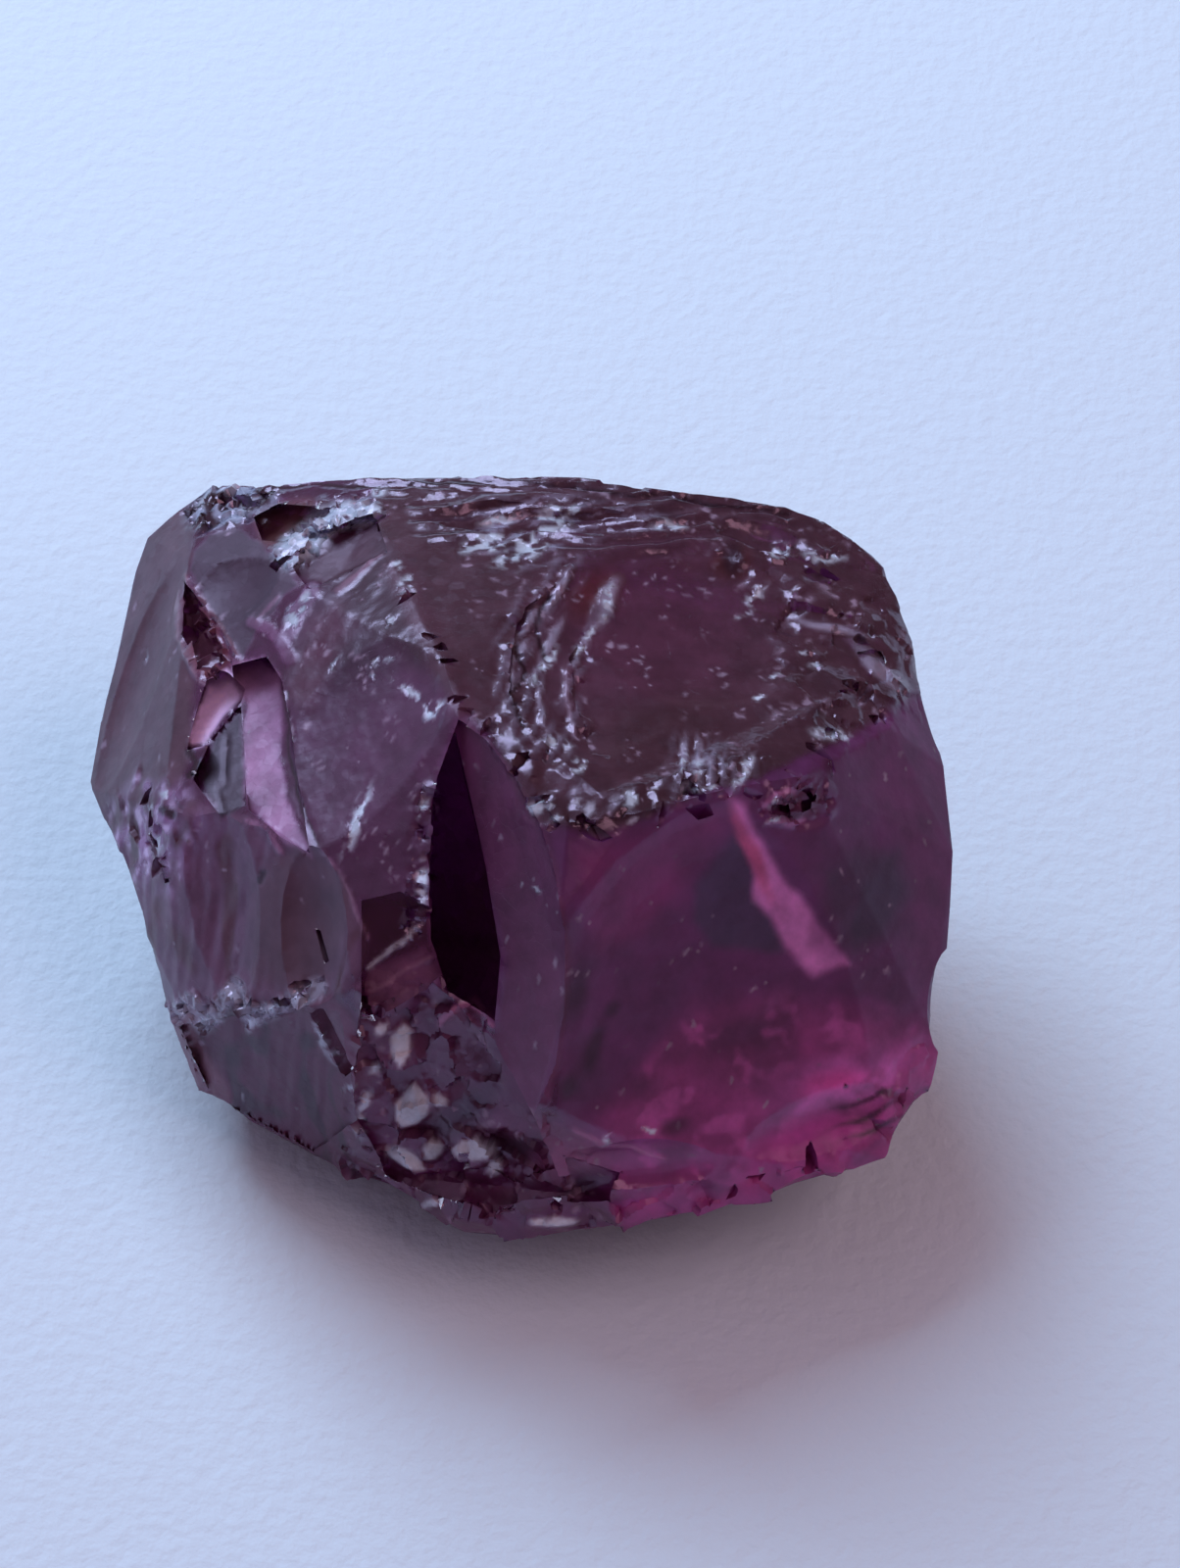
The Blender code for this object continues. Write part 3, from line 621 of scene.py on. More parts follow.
# %% Ribs down the left faces
SMOOTH_LOBE = (-6.7, -3.1, 3.6, 2.3, 82)
ribbed = np.maximum(net.inside(RIBBED_FACE, 0.3), net.inside(LOWER_LEFT_FACE, 0.3))
ribbed *= 1.0 - 0.85 * net.oval(*SMOOTH_LOBE)
relief += 0.022 * ribbed * net.waves(0.8, 86, 6.0, 7) * (0.5 + 0.9 * net.lumps(1.6, 8))
relief += 0.008 * ribbed * net.waves(0.3, 84, 4.0, 10)
print("points on the ribs:", int((ribbed > 0.5).sum()))

# %% [markdown]
# The top shows how the crystal grew and broke: thin layers along the back rim, streaks
# like ripples beside them, steps in a zigzag, and short parallel ridges that mineral
# collectors call hackles. All of them are waves that show only through their stencil. The
# zigzags and the hackles get their own functions, because painted silvery glints are laid
# on them later too.

# %% Zigzag steps and hackles


def zigzag_steps():
    """The steps where they catch the light, on both zigzag lines."""
    lines = np.maximum(net.near(OUTER_ZIGZAG, 0.55, 0.3), net.near(INNER_ZIGZAG, 0.2, 0.25))
    return lines * smooth(net.waves(0.42, 62, 4.0, 13), 0.0, 0.6)


def hackles():
    """Short ridges side by side below the top."""
    return net.inside(HACKLES, 0.3) * smooth(net.waves(0.26, 82, 2.0, 14), -0.1, 0.5)


# %% Wavy streaks, thin layers, steps and hackles on top
streaks = net.near(TOP_STREAKS, 0.9, 0.6)
relief += 0.05 * streaks * net.waves(0.42, 6, 5.0, 11)
layers = net.near(BACK_RIM, 0.5, 0.3)
relief += 0.04 * layers * net.waves(0.21, -3, 1.5, 12)
relief += 0.03 * zigzag_steps()
relief += 0.03 * hackles()
print("points on the streaks and layers:", int((streaks + layers > 0.5).sum()))

# %% [markdown]
# A crushed place is a crowd of tiny flat facets, each with its own tilt and its own
# height. The script picks loose points of the net as seeds, gives each a random plane,
# and moves every point onto the plane of its nearest seed, as a Voronoi pattern does.

# %% Crushed places on top: stencil, spacing, lean and step in mm, seed
crushed_on_top = [
    (net.inside(TOP_LEFT_CLUSTER, 0.2), 0.45, 0.35, 0.05, 11),
    (net.near(SHELF_GLINTS, 0.5, 0.3), 0.4, 0.35, 0.05, 12),
    (net.inside(RIGHT_CHIPS, 0.5), 0.8, 0.12, 0.03, 14),
    (net.near(RIDGE_CHIPS, 0.3, 0.5), 0.6, 0.11, 0.03, 15),
    (net.near(OUTER_ZIGZAG, 0.5, 0.3), 0.7, 0.08, 0.02, 16),
    (net.near(INNER_ZIGZAG, 0.3, 0.3), 0.7, 0.08, 0.02, 23),
    (net.inside(UPPER_CORNER, 0.4), 0.9, 0.02, 0.004, 26),
]
for place in crushed_on_top:
    relief += net.facets(*place)
print("crushed places on top:", len(crushed_on_top))

# %% [markdown]
# The mauve face is a clean break, so it gets no facets, only a fine unevenness that
# softens what it mirrors. Its upper corner leans a little more than the rest, which turns
# the mirror image of the lamp away from the eye, so the corner is as dark as the real one.

# %% The mauve face and its upper corner
CORNER_LEAN = 0.06
CORNER_MIDDLE = -4.7
relief += net.inside(MAUVE_FACE, 0.4) * (0.012 * net.lumps(0.45, 27) + 0.008 * net.lumps(0.2, 29))
relief += net.inside(UPPER_CORNER, 0.5) * CORNER_LEAN * (net.across - CORNER_MIDDLE)
print("rise over the corner, mm per mm:", CORNER_LEAN)

# %% The nibbled hollow at the top of the window, and the strokes
NIBBLED_HOLLOW = (4.85, -0.45, 1.5, 1.0, 10)
STROKE_HEIGHT = 0.04
relief += net.facets(net.oval(*NIBBLED_HOLLOW, 0.4), 0.4, 0.4, 0.08, 28)
for stroke in STROKES:
    relief += STROKE_HEIGHT * net.oval(*stroke, 0.5)
print("strokes raised:", len(STROKES))

# %% Crushed places further down: stencil, spacing, lean and step in mm, seed
crushed_further_down = [
    (net.inside(DARK_PIT, 0.15), 0.5, 0.4, 0.1, 24),
    (net.inside(LILAC_PATCH, 0.5), 0.6, 0.1, 0.01, 17),
    (net.inside(BROKEN_CORNER, 0.3), 1.1, 0.16, 0.07, 18),
    (net.inside(BROKEN_CORNER, 0.3), 0.5, 0.06, 0.015, 25),
    (net.near(LEFT_GLINT_LINE, 0.3, 0.2), 0.36, 0.3, 0.04, 19),
    (net.near(CLEFT_RIM, 0.4, 0.25), 0.36, 0.3, 0.04, 20),
    (net.near(LOWER_EDGE, 0.8, 0.5), 0.8, 0.1, 0.03, 21),
]
for place in crushed_further_down:
    relief += net.facets(*place)
print("crushed places further down:", len(crushed_further_down))

# %% Broken patches on the sides that the view doesn't show
turned_away = smooth(-(net.normals @ TO_EYE), 0.1, 0.3)
broken_behind = turned_away * smooth(net.lumps(4.2, 9), -0.05, 0.3)
relief += net.facets(broken_behind, 1.3, 0.1, 0.04, 22)
print("points of the patches behind:", int((broken_behind > 0.5).sum()))

# %% Thin edges stand up and cracks are sunk
EDGE_HEIGHT = 0.03
for line, width, _ in FLAKE_EDGES:
    relief += EDGE_HEIGHT * net.near(line, width, 0.1)
for line, width in CRACKS:
    relief -= EDGE_HEIGHT * net.near(line, width, 0.1)
print("edges and cracks:", len(FLAKE_EDGES) + len(CRACKS))

# %% [markdown]
# Pale crumbs of crushed garnet cling to the lower left corner. They are bits of the same
# stone, so they are raised out of its surface and aren't pieces of their own. An oval
# would look like a grain of rice. Each crumb gets an outline with eight corners instead,
# at loose distances from its middle, so it looks broken.

# %% An angular outline for a crumb
CRUMB_CORNERS = 8
CRUMB_SEED = 100


def crumb_outline(number, x, y, length, width, turn):
    """The corners of one crumb, at loose angles and loose distances from its middle."""
    dice = np.random.default_rng(CRUMB_SEED + number)
    places = np.arange(CRUMB_CORNERS) + dice.uniform(-0.35, 0.35, CRUMB_CORNERS)
    angles = places * math.pi / (CRUMB_CORNERS / 2)
    turn = math.radians(turn)
    corners = []
    for angle in angles:
        reach = dice.uniform(0.8, 1.05)
        along = 0.5 * length * reach * math.cos(angle)
        over = 0.5 * width * reach * math.sin(angle)
        corners.append((x + along * math.cos(turn) - over * math.sin(turn),
                        y + along * math.sin(turn) + over * math.cos(turn)))
    return corners


# %% Raise the crumbs
for number, (*spot, height) in enumerate(CRUMBS):
    relief += height * net.inside(crumb_outline(number, *spot), 0.12)
print("highest crumb, mm:", max(height for *_, height in CRUMBS))

# %% [markdown]
# The relief fades out towards the underside, which has to stay flat, because the stone
# rests on it. It is also kept under a third of a millimetre, so that the stone stays in
# the box of its CAD model.

# %% Move the points
MOST_RELIEF = 0.3
FLAT_BELOW = 0.05
FULL_RELIEF_ABOVE = 0.8
relief *= smooth(net.points[:, 2], FLAT_BELOW, FULL_RELIEF_ABOVE)
relief = np.clip(relief, -MOST_RELIEF, MOST_RELIEF)
net.points += net.normals * relief[:, None]
net.points[:, 2] = np.maximum(net.points[:, 2], 0.0)
net.write_points()
print("relief, mm:", round(float(relief.min()), 2), "to", round(float(relief.max()), 2))

# %% [markdown]
# ## Fewer triangles behind
#
# The marks that the photograph shows need the fine net, and the sides that it doesn't
# show don't. A vertex group tells the Decimate modifier which points it may merge. The
# shading is smooth, and edges sharper than a given angle are marked sharp, so that faces
# meet crisply while the curved breaks stay round.

# %% Merge points on the sides that are turned away
MOST_TRIANGLES = 199000
CRISP_ANGLE = math.radians(38.0)

behind = stone.vertex_groups.new(name="behind")
behind.add(np.flatnonzero(net.seen < 0.01).tolist(), 1.0, "REPLACE")
stone.data.calc_loop_triangles()
fewer = stone.modifiers.new("fewer", "DECIMATE")
fewer.ratio = MOST_TRIANGLES / len(stone.data.loop_triangles)
fewer.vertex_group = behind.name
apply_modifiers(stone)
stone.vertex_groups.clear()
for face in stone.data.polygons:
    face.use_smooth = True
stone.data.set_sharp_from_angle(angle=CRISP_ANGLE)

# %% Read the net again, and keep it on the floor
net = Net(stone.data)
net.points[:, 2] = np.maximum(net.points[:, 2], 0.0)
net.write_points()
print("points:", net.count)

# %% [markdown]
# ## Colour, clearness and frost
#
# Garnet has one colour, but the eye sees many: plum where the stone is deep, magenta
# where light comes through, lilac on fresh flakes and near white on bruises. Part of the
# tint is painted light: painted glints, painted sheen, a painted glow at the thin edges and
# painted shade in the cracks. Four values at each point of the net carry that: tint, the
# colour; clear, how much light goes through; frost, how dull the surface is; and chipped,
# how crumbled it is.
#
# An image texture would need the mesh to be unwrapped, and its pixels would be coarser
# than this net. Each coat of paint below gives a stencil, a tone, and then clear, frost
# and chipped. What a coat leaves out stays as it was.

# %% Paint that is laid on through stencils
DEEP_PLUM = (110, 36, 100)


def screen_tone(red, green, blue):
    """The linear colour of a tone that is given the way a screen counts, from 0 to 255."""
    screen = np.array((red, green, blue)) / 255.0
    return np.where(screen <= 0.04045, screen / 12.92, ((screen + 0.055) / 1.055) ** 2.4)


class Paint:
    """What each point of the net is painted with."""

    def __init__(self, count):
        self.tint = np.tile(screen_tone(*DEEP_PLUM), (count, 1))
        self.clear = np.full(count, 0.8)
        self.frost = np.full(count, 0.2)
        self.chipped = np.full(count, 0.1)

    def over(self, mask, tone=None, clear=None, frost=None, chipped=None):
        """Move each value towards the new one, as far as the stencil says."""
        if tone is not None:
            self.tint += (screen_tone(*tone) - self.tint) * mask[:, None]
        for values, target in ((self.clear, clear), (self.frost, frost),
                               (self.chipped, chipped)):
            if target is not None:
                values += (target - values) * mask


paint = Paint(net.count)
print("deep plum, linear:", screen_tone(*DEEP_PLUM).round(3))

# %% [markdown]
# The faces that mirror the pale room look grey, and they are frosted, so that the mirrored
# room is a soft sheen and no picture. The flakes at the upper left are thin and nearly
# opaque, and their pale lilac and pink is partly a painted sheen of the pale room that they
# mirror, painted bright enough to lift the shade on their steep walls. The window and the
# mauve face are the clearest.

# %% The top and the window
paint.over(net.inside(BROWN_TOP), (98, 62, 80), 0.66, 0.22, 0.14)
paint.over(net.oval(1.4, 3.4, 4.6, 4.2, 0, 0.7), (120, 66, 98), 0.7, 0.2, 0.06)
paint.over(net.oval(1.8, 1.2, 3.6, 1.6, 10, 0.6), (96, 60, 76))
paint.over(net.inside(WINDOW), (130, 54, 126), 0.68, 0.36, 0.0)
paint.over(net.inside(RIGHT_RIM, 0.3), (124, 50, 116), 0.6, 0.5)
print("dullest so far:", paint.frost.max().round(2))

# %% The left and middle faces
paint.over(net.inside(LEFT_FACE), (112, 74, 90), 0.66, 0.4)
paint.over(net.inside(RIBBED_FACE), (128, 82, 118), 0.62, 0.4)
paint.over(net.inside(LOWER_LEFT_FACE), (104, 36, 74), 0.6, 0.46)
paint.over(net.oval(*SMOOTH_LOBE), (112, 82, 100), 0.6, 0.5, 0.0)
paint.over(net.inside(MAUVE_FACE), (116, 50, 104), 0.76, 0.4, 0.06)
paint.over(net.oval(-5.4, 3.4, 3.4, 2.0, 60, 0.6), (64, 24, 56), frost=0.3)
paint.over(net.inside(UPPER_CORNER, 0.4), (66, 22, 48), 0.8, 0.26, 0.0)
print("dullest so far:", paint.frost.max().round(2))

# %% Hollows, flakes, the cleft and the broken corner
paint.over(net.inside(HOLLOW, 0.15), (112, 66, 66), 0.5, 0.3, 0.2)
paint.over(net.inside(BEHIND_SHELF, 0.2), (88, 34, 58), 0.7, 0.45, 0.1)
paint.over(net.inside(RED_BAND, 0.3), (110, 38, 76))
paint.over(net.inside(OVAL_FACE, 0.06), (60, 38, 58), 0.5, 0.55)
paint.over(net.inside(PLUM_STRIP), (108, 52, 92), 0.42, 0.5)
paint.over(net.inside(BROKEN_CORNER), (120, 50, 96), 0.66, 0.34, 0.08)
paint.over(net.oval(-0.6, -8.6, 3.2, 1.4, -20, 0.6), (150, 70, 118), 0.5, 0.35)
paint.over(net.inside(PURPLE_PATCH, 0.15), (128, 70, 114), 0.5, 0.4, 0.2)
paint.over(net.inside(CLEFT, 0.1), (112, 44, 104), 0.5, 0.4, 0.3)
paint.over(net.inside(DARK_PIT, 0.1), (120, 66, 84), 0.4, 0.3, 0.2)
# Painted sheen: the flake and the strip are painted pale lilac and pink for the room that they
# mirror.
paint.over(net.inside(PINK_FLAKE, 0.08), (238, 206, 255), 0.0, 0.35)
paint.over(net.inside(PINK_STRIP, 0.08), (156, 110, 150), 0.15, 0.35)
paint.over(net.inside(GREY_GREEN_FACE, 0.08), (56, 48, 60), 0.4, 0.5)
print("least clear so far:", paint.clear.min().round(2))

# %% [markdown]
# Brown streaks run down the left faces, where thin layers lie over each other. They follow
# the ribs and are uneven, so waves and noise are added before the smooth step.

# %% Brown streaks down the left faces
brown = smooth(net.waves(1.1, 82, 7.0, 32) + 1.2 * net.lumps(0.9, 33), 0.2, 1.1)
brown *= 1.0 - 0.8 * net.oval(*SMOOTH_LOBE)
paint.over(net.inside(RIBBED_FACE, 0.3) * brown, (104, 56, 70))
paint.over(net.inside(LOWER_LEFT_FACE, 0.3) * brown, (62, 30, 46))
paint.over(net.inside(LEFT_FACE, 0.3) * brown * 0.6, (96, 58, 70))
print("points on the brown streaks:", int((brown > 0.5).sum()))

# %% [markdown]
# The clear face at the right is a window into the stone. Through it show a bright wedge, a
# dark triangle, a pink streak, which is a crack, a dark patch, and the glow where light
# comes in from below. Modelled inside the stone they would bend and shift as real ones do,
# but a render of them stays noisy. Painted softly in the surface they look the same from
# the front.

# %% Outlines of what shows inside the window
BRIGHT_WEDGE = [(-0.3, -1.6), (1.3, -1.25), (3.25, -0.55), (2.8, -1.5), (2.2, -2.3),
                (1.55, -3.2), (0.2, -3.9)]
DARK_TRIANGLE = [(3.5, -0.9), (2.45, -2.3), (2.3, -3.2), (2.8, -3.75), (4.5, -3.9), (4.05, -2.7),
                 (3.8, -1.8)]
PINK_STREAK = [(3.25, -0.34), (3.6, -0.45), (4.05, -1.5), (4.7, -2.4), (5.4, -3.4), (6.0, -4.2),
               (5.1, -4.4), (4.5, -3.75), (3.85, -2.7), (3.85, -2.05), (3.5, -1.0)]
DARK_PATCH = [(5.4, -2.05), (6.3, -1.6), (7.2, -1.5), (7.45, -2.6), (6.9, -3.6), (6.1, -3.9),
              (5.6, -2.95)]
print("pink streak, percent:", share(PINK_STREAK))

# %% What shows inside the window
paint.over(net.inside(BRIGHT_WEDGE, 0.35), (158, 54, 134))
paint.over(net.inside(DARK_TRIANGLE, 0.16), (88, 64, 106))
paint.over(net.inside(PINK_STREAK, 0.14), (236, 140, 222), 0.45)
paint.over(net.oval(3.75, -1.6, 2.2, 0.34, -66, 0.6), (220, 100, 160), 0.5)
paint.over(net.inside(DARK_PATCH, 0.35), (76, 56, 88))
print("clearest:", paint.clear.max().round(2))

# %% The glow at the lower right, with blotches
paint.over(net.inside(GLOW, 0.6), (192, 76, 162), 0.68)
paint.over(net.oval(6.0, -6.9, 3.6, 1.1, 14, 0.8), (255, 130, 236), 0.45)
paint.over(net.oval(5.6, -6.95, 1.4, 0.5, 14, 0.8), (255, 96, 200), 0.4)
paint.over(net.oval(3.4, -5.9, 2.6, 1.0, 20, 0.8), (125, 50, 112))
paint.over(net.oval(6.4, -7.75, 1.6, 0.5, -22, 0.5), (112, 56, 104))
paint.over(net.oval(6.9, -7.2, 1.2, 0.2, -22, 0.5), (118, 64, 110))
blotches = smooth(net.lumps(0.7, 34) + 0.6 * net.lumps(0.25, 35), 0.05, 0.6)
paint.over(net.inside(GLOW, 0.5) * blotches * 0.8, (226, 104, 196), 0.55)
paint.over(net.inside(WINDOW, 0.3) * smooth(-net.lumps(1.3, 36), 0.1, 0.5) * 0.5, (100, 44, 96))
print("points on the blotches:", int((blotches > 0.5).sum()))

# %% [markdown]
# Crushed garnet scatters light, as crushed ice does, so it turns pale, and its facets
# glint because each one leans its own way. These coats are pale, with little clearness and
# much chipping, and their bluish white is partly painted glints: the window that the facets
# mirror is painted into the tint. Between the glints the plum body shows, so noise breaks
# the coats up.

# %% Crushed places along the top
SILVER_GLINT = (150, 142, 172)
cluster = net.inside(TOP_LEFT_CLUSTER, 0.2)
# Painted glints: the cluster is painted bluish white, and the shelf glints next are too.
paint.over(cluster, (170, 176, 206), 0.4, 0.15, 0.9)
paint.over(cluster * smooth(net.lumps(0.4, 51), 0.0, 0.2), (60, 36, 44), 0.7)
paint.over(net.near(SHELF_GLINTS, 0.4, 0.3), (196, 206, 232), 0.25, 0.15, 1.0)
paint.over(net.near(TOP_STREAKS, 0.8, 0.5), chipped=0.25)
paint.over(net.inside(RIGHT_CHIPS, 0.5), chipped=0.16)
paint.over(net.near(RIDGE_CHIPS, 0.4, 0.3), (86, 52, 66), chipped=0.0)
paint.over(net.oval(3.3, 5.1, 0.9, 0.8, 0, 0.5), (84, 40, 44), 0.4)
paint.over(net.oval(0.1, 4.4, 1.3, 0.8, 40, 0.6), (118, 52, 64), 0.7)
print("points of the cluster:", int((cluster > 0.5).sum()))

# %% Crushed places at the left and along the lower edge
# The lilac patch is partly the stone's own lilac and partly painted sheen, and its flecks are
# painted glints.
lilac = net.inside(LILAC_PATCH, 0.5) * smooth(net.lumps(0.5, 49), -0.3, 0.3)
paint.over(lilac, (172, 132, 188), 0.4, 0.22, 0.1)
paint.over(net.flecks(lilac, 0.5, 0.34, 60, 46), (216, 196, 240), 0.2)
# Painted glow: the thin lower edge and the oval beside it are painted bright magenta for the light
# that comes through the stone there.
paint.over(net.near(LOWER_EDGE, 0.4, 0.5) * (0.6 + net.lumps(0.6, 50)), (220, 84, 176), 0.6, 0.5)
paint.over(net.oval(5.3, -8.25, 3.2, 1.0, 17, 0.5), (184, 60, 152), 0.35, 0.5)
paint.over(net.oval(4.85, -0.45, 1.4, 0.9, 10, 0.4), (92, 44, 78), 0.4)
paint.over(net.oval(-5.8, -6.0, 2.0, 0.9, -62, 0.4), (112, 66, 94), 0.3)
paint.over(net.near(LEFT_NOTCH, 0.5, 0.3), (120, 82, 100), 0.2)
paint.over(net.near(LEFT_GLINT_LINE, 0.2, 0.2), (170, 166, 190), 0.4, 0.15, 0.9)
paint.over(net.near(CLEFT_RIM, 0.3, 0.2), chipped=0.4)
paint.over(net.near(TOP_LEFT_RIDGE, 0.3, 0.4), (92, 56, 74), 0.5)
print("points of the lilac patch:", int((lilac > 0.5).sum()))

# %% Painted silvery glints on the steps, strokes, hackles and crushed streaks
paint.over(zigzag_steps() * 0.35, SILVER_GLINT, 0.45, 0.25, 0.0)
for stroke in STROKES:
    paint.over(net.oval(*stroke, 0.6) * 0.75, (168, 160, 188), 0.25, 0.28, 0.0)
paint.over(hackles() * 0.4, SILVER_GLINT, 0.45, 0.25, 0.0)
crushed = smooth(net.lumps(0.32, 37) + 0.7 * net.waves(0.3, 12, 4.0, 38), 0.1, 0.7)
paint.over(net.inside(SILVER_GLINT_PATCH, 0.4) * crushed * 0.8, SILVER_GLINT, 0.35, 0.25, 0.4)
print("strokes painted:", len(STROKES))

# %% [markdown]
# The small marks from the lists come last, over everything else. Flecks too small to list
# are scattered by chance with a fixed seed, thickly in some parts and not at all in
# others, because an even scatter would look like snow.

# %% Thin edges with painted highlights, cracks with painted shade, and clouds
# Painted highlights: each thin edge is painted in its pale tone.
for line, width, tone in FLAKE_EDGES:
    paint.over(net.near(line, width, 0.08) * 0.8, tone, 0.2, 0.3)
# Painted shade: the cracks and holes are painted near black.
for line, width in CRACKS:
    paint.over(net.near(line, width, 0.08), (34, 12, 26), 0.5)
for spot in CLOUDS:
    paint.over(net.oval(*spot, 0.7) * 0.8, (44, 22, 40), 0.6)
print("edges, cracks and clouds:", len(FLAKE_EDGES) + len(CRACKS) + len(CLOUDS))

# %% Flecks
FLECK = (160, 138, 164)
scattered = smooth(net.lumps(0.9, 48), -0.05, 0.35) * net.seen
paint.over(net.flecks(scattered, 1.2, 0.13, 60, 41), FLECK, 0.4)
paint.over(net.flecks(net.inside(MAUVE_FACE) * scattered, 0.6, 0.14, 70, 42), FLECK, 0.4)
paint.over(net.flecks(net.inside(BROWN_TOP) * scattered, 0.5, 0.15, 20, 43), FLECK, 0.4)
paint.over(net.flecks(net.inside(RIGHT_CHIPS) * scattered, 0.6, 0.26, 15, 44), FLECK, 0.4)
# Painted glints: the flecks along the chipped ridge are painted bluish white.
paint.over(net.flecks(net.near(RIDGE_CHIPS, 0.5, 0.3), 1.1, 0.3, 50, 45), (186, 186, 210), 0.3)
paint.over(net.flecks(net.inside(BROKEN_CORNER), 0.8, 0.2, 60, 47), (160, 120, 148), 0.4)
print("points where flecks may be:", int((scattered > 0.5).sum()))

# %% Crumbs, and bruises with painted glints
CRUMB_GREY = (182, 182, 196)
BRUISE_AND_GLINT_WHITE = (186, 194, 214)
broken_up = smooth(net.lumps(0.2, 31), -0.15, 0.1)
for number, (*spot, _) in enumerate(CRUMBS):
    crumb = net.inside(crumb_outline(number, *spot), 0.05)
    paint.over(crumb, CRUMB_GREY, 0.0, 0.6, 0.3)
# The bruises are white crushed spots, and their bluish white is partly painted glints of the window.
for spot in BRUISES_AND_GLINTS:
    paint.over(net.oval(*spot, 0.5) * broken_up, BRUISE_AND_GLINT_WHITE, 0.1, 0.3, 0.8)
print("crumbs and bruises:", len(CRUMBS) + len(BRUISES_AND_GLINTS))

# %% [markdown]
# An attribute keeps one value for each point of the mesh, and the material reads it by its
# name. It travels with the mesh, needs no unwrapping and is as fine as the net.

# %% Write the paint into the mesh


def write_attribute(name, values, kind="FLOAT", field="value"):
    attribute = stone.data.attributes.new(name, kind, "POINT")
    attribute.data.foreach_set(field, values.astype(np.float32).ravel())


opaque = np.ones((net.count, 1))
write_attribute("tint", np.hstack((np.clip(paint.tint, 0, 1), opaque)), "FLOAT_COLOR", "color")
write_attribute("clear", np.clip(paint.clear, 0, 1))
write_attribute("frost", np.clip(paint.frost, 0, 1))
write_attribute("chipped", np.clip(paint.chipped, 0, 1))
print("attributes:", [attribute.name for attribute in stone.data.attributes])

# %% [markdown]
# ## The finish of garnet
#
# Garnet bends light more than glass does, with an index of refraction of about 1.76. Part
# of the light goes through, which is the transmission, and the rest comes back from cracks
# near the surface, which is the base colour. A plain glass shader would be too clean, and
# a plain diffuse one would lose the depth, so the clear attribute mixes the two from point
# to point.

# %% A helper for materials


class Nodes:
    """Adds nodes to a material and links them by the names of their sockets."""

    def __init__(self, material):
        material.use_nodes = True
        self.tree = material.node_tree
        self.shader = self.tree.nodes["Principled BSDF"]

    def add(self, kind, settings=(), **inputs):
        node = self.tree.nodes.new("ShaderNode" + kind)
        for name, value in dict(settings).items():
            setattr(node, name, value)
        for name, value in inputs.items():
            self.set(node, name.replace("_", " "), value)
        return node

    def set(self, node, name, value):
        socket = node.inputs[int(name[3:])] if name.startswith("in ") else node.inputs[name]
        if isinstance(value, bpy.types.NodeSocket):
            self.tree.links.new(value, socket)
        else:
            socket.default_value = value

    def attribute(self, name, output="Fac"):
        return self.add("Attribute", {"attribute_name": name}).outputs[output]


# %% The garnet: how it bends, mirrors and lets through light
garnet = bpy.data.materials.new("garnet")
work = Nodes(garnet)
work.shader.inputs["IOR"].default_value = 1.76
work.shader.inputs["Specular IOR Level"].default_value = 0.30
work.shader.inputs["Specular Tint"].default_value = (0.96, 0.70, 1.0, 1.0)
chipped = work.attribute("chipped")
work.set(work.shader, "Transmission Weight", work.attribute("clear"))
work.set(work.shader, "Roughness", work.attribute("frost"))
in_object = work.add("TexCoord").outputs["Object"]
in_mm = work.add("VectorMath", {"operation": "SCALE"}, Vector=in_object, Scale=1 / MM)
print("index of refraction:", round(work.shader.inputs["IOR"].default_value, 2))

# %% A soft mottle in the tint
DARKEST_MOTTLE = 0.68
LIGHTEST_MOTTLE = 1.3
mottle = work.add("TexNoise", Vector=in_mm.outputs[0], Scale=1.1, Detail=4.0, Roughness=0.62)
lightness = work.add("MapRange", Value=mottle.outputs["Fac"])
work.set(lightness, "From Min", 0.3)
work.set(lightness, "From Max", 0.7)
work.set(lightness, "To Min", DARKEST_MOTTLE)
work.set(lightness, "To Max", LIGHTEST_MOTTLE)
mottled = work.add("VectorMath", {"operation": "SCALE"},
                   Vector=work.attribute("tint", "Color"), Scale=lightness.outputs[0])
work.set(work.shader, "Base Color", mottled.outputs[0])
print("mottle, darkest and lightest:", DARKEST_MOTTLE, LIGHTEST_MOTTLE)

# %% [markdown]
# The smallest facets are a quarter of a millimetre across, too fine for the net. A Voronoi
# texture gives each of them a place and a random colour. The random colour serves as a
# slope: its dot product with the way from the middle of the facet is a tilted plane, and
# the Bump node lights it as one.

# %% Facets too small for the net
cells = work.add("TexVoronoi", Vector=in_mm.outputs[0], Scale=4.0)
from_middle = work.add("VectorMath", {"operation": "SUBTRACT"},
                       in_0=in_mm.outputs[0], in_1=cells.outputs["Position"])
slope = work.add("VectorMath", {"operation": "SUBTRACT"},
                 in_0=cells.outputs["Color"], in_1=(0.5, 0.5, 0.5))
plane = work.add("VectorMath", {"operation": "DOT_PRODUCT"},
                 in_0=from_middle.outputs[0], in_1=slope.outputs[0])
tiny_plane = work.add("Math", {"operation": "MULTIPLY"},
                      in_0=plane.outputs["Value"], in_1=chipped)
facet_bump = work.add("Bump", Height=tiny_plane.outputs[0], Strength=1.0, Distance=0.8 * MM)
print("facets per mm:", round(cells.inputs["Scale"].default_value, 1))

# %% A fine grain over the facets
grain = work.add("TexNoise", Vector=in_mm.outputs[0], Scale=2.4, Detail=3.0)
grain_bump = work.add("Bump", Height=grain.outputs["Fac"], Strength=0.3, Distance=0.05 * MM,
                      Normal=facet_bump.outputs["Normal"])
work.set(work.shader, "Normal", grain_bump.outputs["Normal"])
print("grains per mm:", round(grain.inputs["Scale"].default_value, 1))

# %% [markdown]
# Light that crosses the stone loses its green first, then its blue and its red, and the
# longer its way, the darker it comes out. Volume Absorption does just that, so thin edges
# turn magenta and the middle turns nearly black without any paint.

